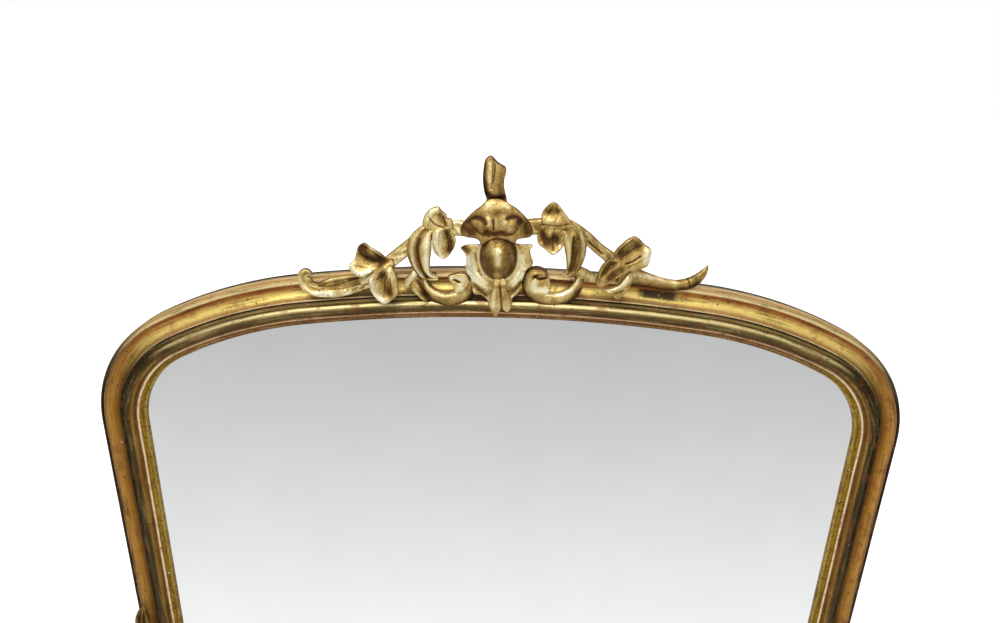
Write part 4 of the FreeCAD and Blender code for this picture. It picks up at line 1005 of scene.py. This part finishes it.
leafLobes = dict(
    left_inner=[
        dict(outline=[(-103, 69), (-102, 80), (-97, 89), (-90, 94), (-82, 96), (-78, 91), (-72, 86),
                      (-70, 80), (-65, 80), (-62, 72), (-66, 66), (-81, 64), (-92, 63)],
             cuts=[([(-98, 76), (-92, 88), (-84, 91)], 5.0, 0.18),
                   ([(-95, 82), (-86, 72), (-76, 68)], 1.4, -0.1), ([(-81, 85), (-77, 75)], 4.5, -0.16),
                   ([(-71, 79), (-66, 73)], 3.0, 0.2), ([(-75, 82), (-72, 70)], 1.6, -0.14)]),
        dict(outline=[(-90, 62), (-91, 47), (-89, 35), (-83, 28), (-75, 24), (-67, 30), (-61, 40),
                      (-59, 49), (-61, 58), (-69, 65), (-81, 66)], base=(0.68, 0.56),
             cuts=[([(-83, 62), (-84, 46), (-77, 31)], 6.0, 0.3),
                   ([(-71, 60), (-67, 49), (-67, 38)], 6.0, -0.32)])],
    right_inner=[
        dict(outline=[(55, 82), (55, 91), (62, 101), (70, 106), (78, 101), (85, 92), (93, 82), (97, 74),
                      (85, 69), (67, 71), (57, 76)],
             cuts=[([(62, 93), (72, 95)], 7.0, -0.2), ([(64, 81), (82, 78)], 5.0, 0.2),
                   ([(58, 76), (74, 74), (90, 77)], 1.6, -0.14), ([(80, 98), (90, 84)], 3.4, 0.16)]),
        dict(outline=[(54, 73), (50, 61), (52, 49), (60, 43), (68, 36), (72, 34), (78, 37), (85, 45),
                      (88, 53), (87, 66), (72, 75)], base=(0.66, 0.56),
             cuts=[([(58, 64), (64, 55), (74, 57)], 8.0, -0.24),
                   ([(57, 47), (65, 41), (73, 37), (81, 44)], 4.0, 0.26), ([(78, 66), (81, 56)], 4.0, 0.2),
                   ([(60, 66), (66, 60)], 3.5, 0.14)])],
    left_outer=[
        dict(outline=[(-152, 19), (-154, 24), (-161, 31), (-170, 36), (-176, 40), (-179, 43), (-184, 43),
                      (-191, 38), (-194, 29), (-197, 19), (-204, 12), (-201, 4), (-194, -2), (-186, -4),
                      (-177, 1), (-160, 10)],
             middle=(-178, 20), base=(0.66, 0.62),
             cuts=[([(-186, 37), (-187, 28), (-178, 21), (-166, 18), (-157, 19)], 8.0, -0.36),
                   ([(-202, 12), (-195, 5), (-186, 0), (-176, 4)], 5.5, 0.36),
                   ([(-155, 23), (-166, 33), (-179, 42)], 2.2, 0.2)]),
        dict(outline=[(-163, 8), (-154, 12), (-146, 11), (-140, 0), (-138, -12), (-138, -26), (-145, -36),
                      (-154, -42), (-164, -39), (-171, -31), (-176, -21), (-178, -13), (-174, -3)],
             middle=(-158, -14), base=(0.68, 0.6),
             cuts=[([(-163, 0), (-160, -14), (-154, -26)], 7.0, -0.3),
                   ([(-175, -8), (-173, -19), (-168, -30), (-158, -38)], 5.0, 0.34),
                   ([(-149, 4), (-144, -12), (-144, -28)], 4.0, 0.2)])],
    right_outer=[
        dict(outline=[(155, 36), (157, 44), (164, 52), (171, 59), (179, 63), (187, 60), (194, 53),
                      (202, 48), (205, 42), (204, 33), (202, 23), (195, 18), (184, 13), (172, 17),
                      (162, 26)], base=(0.7, 0.62),
             cuts=[([(164, 36), (174, 42), (183, 49)], 9.0, -0.32), ([(199, 42), (197, 27)], 7.0, 0.26),
                   ([(172, 24), (181, 28), (190, 36)], 1.4, -0.12),
                   ([(157, 38), (163, 49), (176, 60)], 2.6, 0.22)]),
        dict(outline=[(162, 29), (150, 31), (142, 25), (137, 16), (134, 4), (133, -5), (138, -10),
                      (149, -7), (158, 0), (168, 7), (178, 14), (173, 23)], base=(0.66, 0.58),
             cuts=[([(163, 22), (150, 10), (139, -4)], 2.2, 0.14), ([(153, 24), (144, 11)], 6.0, -0.24),
                   ([(166, 15), (152, 3)], 5.0, -0.2), ([(148, 29), (140, 18), (136, 4)], 2.4, 0.2)]),
        dict(outline=[(142, -13), (155, -11), (165, -5), (174, 7), (181, 12), (184, 2), (178, -15),
                      (171, -23), (164, -28), (157, -22), (150, -17)], height=11.5,
             cuts=[([(150, -13), (163, -8), (175, 3)], 5.0, 0.24), ([(158, -20), (170, -15)], 3.0, -0.1)])])
# painted highlights and painted shade on the leaves' lobes
leafPaintedLight = dict(
    left_inner=[
        ([(-70, 60), (-66, 47), (-67, 36)], 5.0, -0.36), ([(-84, 58), (-84, 44), (-77, 30)], 5.0, 0.16),
        ([(-98, 78), (-90, 89)], 4.0, 0.12), ([(-95, 82), (-86, 72), (-76, 68)], 1.2, -0.25),
        ([(-78, 84), (-74, 72)], 3.5, -0.2)],
    right_inner=[
        ([(62, 93), (73, 94)], 8.0, -0.2), ([(64, 81), (82, 78)], 4.0, 0.08),
        ([(84, 90), (92, 80)], 3.0, 0.1), ([(58, 62), (64, 54), (75, 57)], 7.5, -0.34),
        ([(66, 41), (74, 37), (82, 46)], 3.0, 0.2)],
    left_outer=[
        ([(-186, 36), (-178, 25), (-160, 21)], 9.5, -0.46), ([(-203, 10), (-194, 1), (-178, 3)], 5.0, 0.12),
        ([(-157, 0), (-151, -14), (-148, -26)], 7.0, -0.32),
        ([(-175, -12), (-171, -27), (-158, -39)], 4.5, 0.24), ([(-152, 5), (-148, -2)], 5.0, 0.16)],
    right_outer=[
        ([(165, 38), (175, 45), (184, 48)], 10.0, -0.17), ([(199, 44), (199, 30)], 5.5, 0.24),
        ([(172, 25), (181, 28.5), (190, 36)], 1.0, -0.35), ([(190, 58), (201, 49)], 2.0, -0.25),
        ([(153, 25), (144, 11), (138, 0)], 7.0, -0.13), ([(167, 16), (153, 4)], 6.0, -0.13),
        ([(163, 22), (150, 10), (139, -4)], 1.2, 0.06), ([(152, -14), (166, -8), (177, 4)], 4.0, 0.2)])
# thin dark lines along the leaves' veins: painted shade of carved lines that the shapes lack
veinShade = dict(
    width=0.9, amount=-0.16,
    left_inner=[
        [(-80, 62), (-82, 46), (-76, 32)], [(-72, 62), (-69, 48), (-69, 36)],
        [(-96, 70), (-92, 80), (-84, 88)]],
    right_inner=[
        [(60, 84), (65, 93), (69, 101)], [(72, 80), (76, 89), (77, 97)], [(60, 70), (58, 58), (62, 47)],
        [(72, 72), (71, 58), (72, 42)]],
    left_outer=[
        [(-158, 22), (-170, 31), (-182, 39)], [(-160, 17), (-175, 20), (-189, 28)],
        [(-164, 12), (-180, 10), (-196, 13)], [(-156, 8), (-166, -6), (-171, -22)],
        [(-150, 6), (-156, -12), (-158, -33)], [(-147, 4), (-148, -12), (-146, -29)]],
    right_outer=[
        [(160, 40), (168, 50), (177, 59)], [(167, 34), (179, 44), (191, 51)],
        [(176, 22), (187, 27), (198, 36)], [(160, 27), (148, 19), (140, 6)],
        [(158, 16), (147, 7), (138, -3)], [(169, 13), (157, 4), (146, -4)],
        [(150, -10), (162, -16), (172, -12)]])
ribs = dict(left_outer=[(-144, 17, 14, 13), (-156, 9, 19, 19), (-170, -2, 19, 19), (-190, -15, 15, 12)])
for word, lobes in leafLobes.items():
    shells = [lobe(**one) for one in lobes]
    if word in ribs:
        shells.append(frond(ribs[word], layers["crestBack"], sectionsOf["drop"]))
    strokes = leafPaintedLight[word] + [(line, veinShade["width"], veinShade["amount"]) for line in veinShade[word]]
    offset = crestOffsets[word.split("_")[0]]
    carvedPiece("crest_%s_leaf" % word, shells, carvedGold, paintedLightStrokes=strokes, offset=offset)
print("leaves carved")

scrolls = dict(
    left=dict(
        band=[(-107, -6, 9, 6), (-103, -22, 17, 10), (-92, -34, 22, 11.5), (-76, -41, 24, 12.5),
              (-60, -39, 26, 13.5), (-46, -30, 24, 13), (-39, -16, 17, 13), (-45, -5, 11, 13),
              (-53, -2, 7, 12)],
        disc=dict(outline=[(-70, -4), (-63, 0), (-54, 2), (-45, 0), (-40, -8), (-42, -17), (-48, -24),
                           (-56, -28), (-61, -25), (-63, -17), (-67, -11)], base=(0.9, 0.9), height=17.0,
                  cuts=[([(-61, -8), (-55, -11)], 2.0, -0.14)]),
        leaflets=[
            dict(outline=[(-134, -15), (-126, -6), (-118, 3), (-111, -1), (-115, -10), (-122, -19),
                          (-128, -27), (-132, -24)],
                 base=(0.95, 0.7), height=10.0),
            dict(outline=[(-123, -22), (-118, -11), (-112, -8), (-105, -14), (-99, -26), (-94, -38),
                          (-98, -44), (-105, -43), (-114, -35), (-121, -28)], base=(0.9, 0.7), height=11.0,
                 cuts=[([(-113, -14), (-101, -34)], 3.0, -0.16)])],
        paintedLightStrokes=[
            ([(-103, -12), (-97, -23), (-84, -31), (-70, -32), (-59, -27)], 3.2, 0.2),
            ([(-104, -32), (-90, -45), (-74, -52), (-58, -50), (-40, -40), (-32, -22)], 6.5, -0.42),
            ([(-62, -6), (-50, -7), (-54, -19)], 6.0, 0.3), ([(-61, -8), (-55, -11)], 1.4, -0.5),
            ([(-130, -20), (-117, -2)], 4.0, 0.26), ([(-118, -26), (-103, -41)], 3.0, 0.2),
            ([(-111, -13), (-101, -30)], 3.0, -0.26)]),
    right=dict(
        band=[(114, 2, 9, 6), (112, -12, 16, 9), (104, -25, 20, 10.5), (92, -33, 22, 11.5),
              (77, -36, 22, 12.5), (61, -34, 23, 13), (46, -26, 20, 13), (40, -11, 15, 14), (43, 2, 14, 15),
              (53, 7, 11, 15), (63, 4, 9, 14), (66, -2, 5, 10)],
        disc=dict(outline=[(64, 3), (53, 1), (46, -8), (44, -20), (54, -28), (68, -26), (74, -16),
                           (71, -5)], base=(0.74, 0.84),
                  height=16.0, cuts=[([(52, -1), (58, -4), (66, -2)], 2.6, -0.12)]),
        leaflets=[
            dict(outline=[(101, 10), (112, 14), (126, 8), (138, -2), (134, -9), (122, -6), (108, -2)],
                 base=(0.9, 0.7), height=10.0)],
        paintedLightStrokes=[
            ([(112, -4), (104, -17), (92, -24), (78, -26), (68, -24)], 3.6, 0.24),
            ([(114, -22), (98, -40), (80, -46), (62, -44), (42, -35)], 5.5, -0.32),
            ([(36, -28), (31, -12), (35, 5), (48, 13), (63, 10)], 3.4, -0.4),
            ([(50, -7), (51, -19), (66, -20)], 5.0, 0.36), ([(49, 0), (56, -4), (66, -2)], 2.0, -0.36),
            ([(106, 8), (130, -2)], 4.0, 0.18)]))
for word, scroll in scrolls.items():
    shells = [frond(scroll["band"], layers["scrollBack"], sectionsOf[word + "Band"], along=180)]
    lobes = [scroll["disc"]] + scroll["leaflets"]
    shells += [lobe(**one, back=layers["scrollBack"], roll=0.1) for one in lobes]
    carvedPiece("crest_%s_scroll" % word, shells, carvedGold, paintedLightStrokes=scroll["paintedLightStrokes"], offset=-0.05)
print("scrolls carved")

# Ornaments of the two sides

foot = dict(
    reach=58.0, height=165.0, thickness=28.5, toe=0.55, belly=0.2, heel=(0.62, 0.44), sweep=(0.24, 0.66),
    middle=(14, 50), spacing=6.0, voluteRadius=36.0, volutePlace=20.0, bandThickness=25.0, bandWidth=13.0,
    bandInset=6.5, drumThickness=17.0, buttonRadius=8.0, buttonThickness=24.0, bracketVoxel=1.2,
    voluteVoxel=0.8)
sideLeaf = dict(base=72.3, voxel=1.0, stations=[
    (-13, 420, 3, 1.2), (-8, 400, 20, 7), (-6, 380, 27, 9), (-4, 340, 29, 10), (2, 270, 33, 11),
    (11, 190, 37, 12), (20, 110, 38, 12), (24, 50, 33, 11), (20, 0, 22, 9)], section=[
        (-1, 0.3), (-0.65, 0.8), (-0.3, 0.45), (0, 1), (0.3, 0.45), (0.65, 0.8), (1, 0.3)])
cornerLeaf = dict(middle=47.4, voxel=0.8, lobes=[
    dict(outline=[(-18, -18), (0, -20), (17, 0), (19, 18), (0, 17), (-20, 0)],
         cuts=[([(-12, -12), (12, 10)], 3.0, 0.2)]),
    dict(outline=[(8, -20), (30, -24), (54, -20), (60, -10), (48, 2), (26, 2), (8, -6)],
         cuts=[([(12, -12), (50, -12)], 4.0, -0.34), ([(12, -20), (52, -18)], 3.0, 0.2)]),
    dict(outline=[(-20, 8), (-24, 30), (-20, 54), (-10, 60), (2, 48), (2, 26), (-6, 8)],
         cuts=[([(-12, 12), (-12, 50)], 4.0, -0.34), ([(-20, 12), (-18, 52)], 3.0, 0.2)])])


def beside(x, z):
    # from the stile's outer side and the floor
    return x + sideX, z


def onLeaf(x, z):
    # from the stile's outer side and the leaf's foot
    return x + sideX, z + sideLeaf["base"]


def onCorner(x, z):
    # from a place in the frame's lower corner, inward and up
    return sideX - cornerLeaf["middle"] - x, cornerLeaf["middle"] + z


def bracketOutline():
    # flat foot, a swelling arc to the heel and a hollow arc up to the stile
    reach, height = foot["reach"], foot["height"]
    toe, top = (reach * foot["toe"], 0), (0, height)
    belly = (reach, height * foot["belly"])
    heel, sweep = ((reach * across, height * up) for across, up in (foot["heel"], foot["sweep"]))
    return sampledLine([(0, 0), toe, (belly, heel), (sweep, top), (0, 0)], foot["spacing"])[:-1]


def bracketRelief(share, x, z):
    # a sunk field inside a raised border
    return 0.86 + 0.14 * ease(0.72, 0.86, share)


def drumRelief(share, x, z):
    # dished: higher with the distance from the middle
    return 0.8 + 0.2 * share


def buttonRelief(share, x, z):
    # domed: lower with the square of the distance from the middle
    return 1 - 0.3 * share ** 2


def voluteShells(side):
    # a dished drum with a band winding in to a button
    x, radius, back = foot["volutePlace"], foot["voluteRadius"], layers["tailBack"]
    drum = carvedFace(
        circle(x, radius, radius), back, foot["drumThickness"], drumRelief, place=beside, roll=0.04,
        foot=0.96, keep=0.8, mirror=side)
    button = carvedFace(
        circle(x, radius, foot["buttonRadius"]), back, foot["buttonThickness"], buttonRelief, place=beside,
        roll=0.2, keep=0.6, mirror=side)
    band = spiralBand(
        (x, radius), radius - foot["bandInset"], -90, 1.6, foot["bandWidth"], foot["bandThickness"], back,
        sectionsOf["drop"], 0.38, place=beside, mirror=side)
    return [drum, button, band]


for word, side in (("left", -1), ("right", 1)):
    bracket = carvedFace(
        bracketOutline(), 0.0, foot["thickness"], bracketRelief, foot["middle"], beside, roll=0.04,
        foot=0.995, keep=0.85, tension=0.6, mirror=side)
    leaf = frond(
        sideLeaf["stations"], layers["tailBack"], sideLeaf["section"], onLeaf, along=260, mirror=side,
        ripple=0.04)
    corner = [
        lobe(**one, back=layers["crestBack"], place=onCorner, mirror=side) for one in cornerLeaf["lobes"]]
    carvedPiece(word + "_foot_bracket", [bracket], carvedGold, foot["bracketVoxel"])
    carvedPiece(word + "_foot_volute", voluteShells(side), carvedGold, foot["voluteVoxel"])
    carvedPiece(word + "_side_leaf", [leaf], sideGold, sideLeaf["voxel"])
    carvedPiece(word + "_corner_leaf", corner, carvedGold, cornerLeaf["voxel"])
print("side ornaments carved")

# Pieces that keep their CAD shape

pine = plankWood("oldPine", tint(176, 132, 82), tint(112, 76, 42), 0)
postPine = plankWood("stayPine", tint(170, 126, 78), tint(108, 74, 42), 2)
beech = plankWood("beech", tint(190, 150, 106), tint(140, 100, 64), 2)
screwSteel = agedSteel("screwSteel", tint(150, 142, 130), 0.6)
hangingSteel = agedSteel("hangingSteel", tint(168, 162, 152), 0.8)
kept = {
    "mirror_plate": mirrorGlass(), "glazing_blocks": postPine, "crest_stay": postPine,
    "joint_tongues": beech, **{"back_board_%d" % (index + 1): pine for index in range(6)},
    **{word + "_screws": screwSteel for word in ("board", "stay", "crest", "hanger")},
    **{side + "_hanger_plate": hangingSteel for side in ("left", "right")},
    **{side + "_hanging_ring": hangingSteel for side in ("left", "right")}}
for node, finish in kept.items():
    nodes[node].data.materials.clear()
    nodes[node].data.materials.append(finish)
print("kept pieces finished")

# Floor, light and camera

studio = dict(
    floorSize=30.0, floorDrop=0.2, paper=0.8, floorGlow=(0.5, 1.0), glowReach=(0.55, 1.3), farGrey=0.478,
    nearGrey=0.745, fade=1.04, ambient=0.26, dome=[(0.5, 0.478), (0.58, 0.42), (0.72, 0.44), (0.88, 1.0)],
    lamps=[
        dict(place=(-0.3, -1.15, 2.45), aim=(0, 0, 0.95), size=(1.3, 0.8), power=26.0),
        dict(place=(0.05, -2.4, 1.85), aim=(0, 0, 1.1), size=(0.4, 0.9), power=12.0),
        dict(place=(0.5, 2.3, 2.6), aim=(0, 0, 0.6), size=(1.5, 0.9), power=40.0)])
view = dict(place=(-0.010, -0.9555, 1.391), lens=25.2, sensor=36.0, pitch=20.45, yaw=0.23, roll=1.65)


def seenRays(wire):
    # 1 for the camera's own rays, and 1 for those that come by way of metal or glass
    path = wire.add("ShaderNodeLightPath").socket.node
    camera, glossy, through = (
        Wire(wire.tree, path.outputs["Is %s Ray" % word]) for word in ("Camera", "Glossy", "Transmission"))
    return camera, (glossy + through).clamped()


def makeFloor():
    # white where the camera looks, with the object's shadow; in the mirror it is greyer with the distance
    # in front
    material, wire, place = newFinish("floorPaper")
    camera, mirrored = seenRays(wire)
    # seen in metal and glass the floor glows by itself with painted light, brightest near the object and
    # greyer further in front
    distance = wire.maths("MAXIMUM", 0.0 - place.axis("Y"), 0.0)
    grey = studio["farGrey"] + studio["nearGrey"] * wire.maths("EXPONENT", distance * (-1 / studio["fade"]))
    paper = wire.add("ShaderNodeBsdfDiffuse", {}, {"Color": greyOf(studio["paper"])})
    near, far = studio["floorGlow"]
    away = wire.add("ShaderNodeVectorMath", {"operation": "LENGTH"}, {0: place}, "Value")
    shine = camera * (near + away.step(*studio["glowReach"]) * (far - near))
    white = shine.ramp([(0.0, greyOf(0)), (1.0, greyOf(1))])
    glow = wire.add("ShaderNodeEmission", {}, {"Color": white, "Strength": 1.0})
    lit = wire.add("ShaderNodeAddShader", {}, {0: paper, 1: glow})
    shown = wire.add("ShaderNodeEmission", {}, {"Color": grey, "Strength": 1.0})
    both = wire.add("ShaderNodeMixShader", {}, {0: mirrored, 1: lit, 2: shown})
    wire.add("ShaderNodeOutputMaterial", {}, {"Surface": both})
    square = np.array([(-1, -1), (1, -1), (1, 1), (-1, 1)]) * studio["floorSize"] / 2
    corners = np.column_stack([square, np.full(4, -studio["floorDrop"] * mm)])
    floor = newObject("floor", newMesh("floor", [(corners, [np.arange(4)[None]])]))
    floor.data.materials.append(material)


def makeWorld():
    # white behind the object; metal and glass see it bright overhead and greyer towards the horizon
    world = bpy.data.worlds.new("studio")
    world.use_nodes = True
    world.node_tree.nodes.clear()
    wire = Wire(world.node_tree)
    camera, mirrored = seenRays(wire)
    height = wire.add("ShaderNodeTexCoord", {}, {}, "Generated").axis("Z")
    dome = (height * 0.5 + 0.5).ramp([(stop, greyOf(level)) for stop, level in studio["dome"]])
    soft = wire.add("ShaderNodeBackground", {}, {"Color": greyOf(1), "Strength": studio["ambient"]})
    metal = wire.add("ShaderNodeBackground", {}, {"Color": dome, "Strength": 1.0})
    white = wire.add("ShaderNodeBackground", {}, {"Color": greyOf(1), "Strength": 1.0})
    shown = wire.add("ShaderNodeMixShader", {}, {0: mirrored, 1: soft, 2: metal})
    shown = wire.add("ShaderNodeMixShader", {}, {0: camera, 1: shown, 2: white})
    wire.add("ShaderNodeOutputWorld", {}, {"Surface": shown})
    bpy.context.scene.world = world


def makeLamps():
    # a soft panel above the front, a tall narrow one ahead and a wide one behind
    for lamp in studio["lamps"]:
        data = bpy.data.lights.new("softPanel", "AREA")
        data.shape = "RECTANGLE"
        data.size, data.size_y = lamp["size"]
        data.energy = lamp["power"]
        panel = newObject("softPanel", data)
        panel.location = lamp["place"]
        panel.rotation_euler = (Vector(lamp["aim"]) - panel.location).to_track_quat("-Z", "Y").to_euler()


def makeCamera():
    # looks down at the arch from just above it, turned and tilted by a degree or so
    pitch, yaw, roll = (math.radians(view[word]) for word in ("pitch", "yaw", "roll"))
    ahead = Vector((math.sin(yaw) * math.cos(pitch), math.cos(yaw) * math.cos(pitch), -math.sin(pitch)))
    right = ahead.cross(Vector((0, 0, 1))).normalized()
    up = right.cross(ahead)
    across = right * math.cos(roll) + up * math.sin(roll)
    upright = up * math.cos(roll) - right * math.sin(roll)
    data = bpy.data.cameras.new("photoCamera")
    data.lens = view["lens"]
    data.sensor_width = view["sensor"]
    data.clip_start = 0.01
    camera = newObject("photoCamera", data)
    turn = Matrix((across, upright, -ahead)).transposed().to_4x4()
    camera.matrix_world = Matrix.Translation(view["place"]) @ turn
    bpy.context.scene.camera = camera


makeFloor()
makeWorld()
makeLamps()
makeCamera()
bpy.context.scene.view_settings.view_transform = "Standard"
print("studio set")
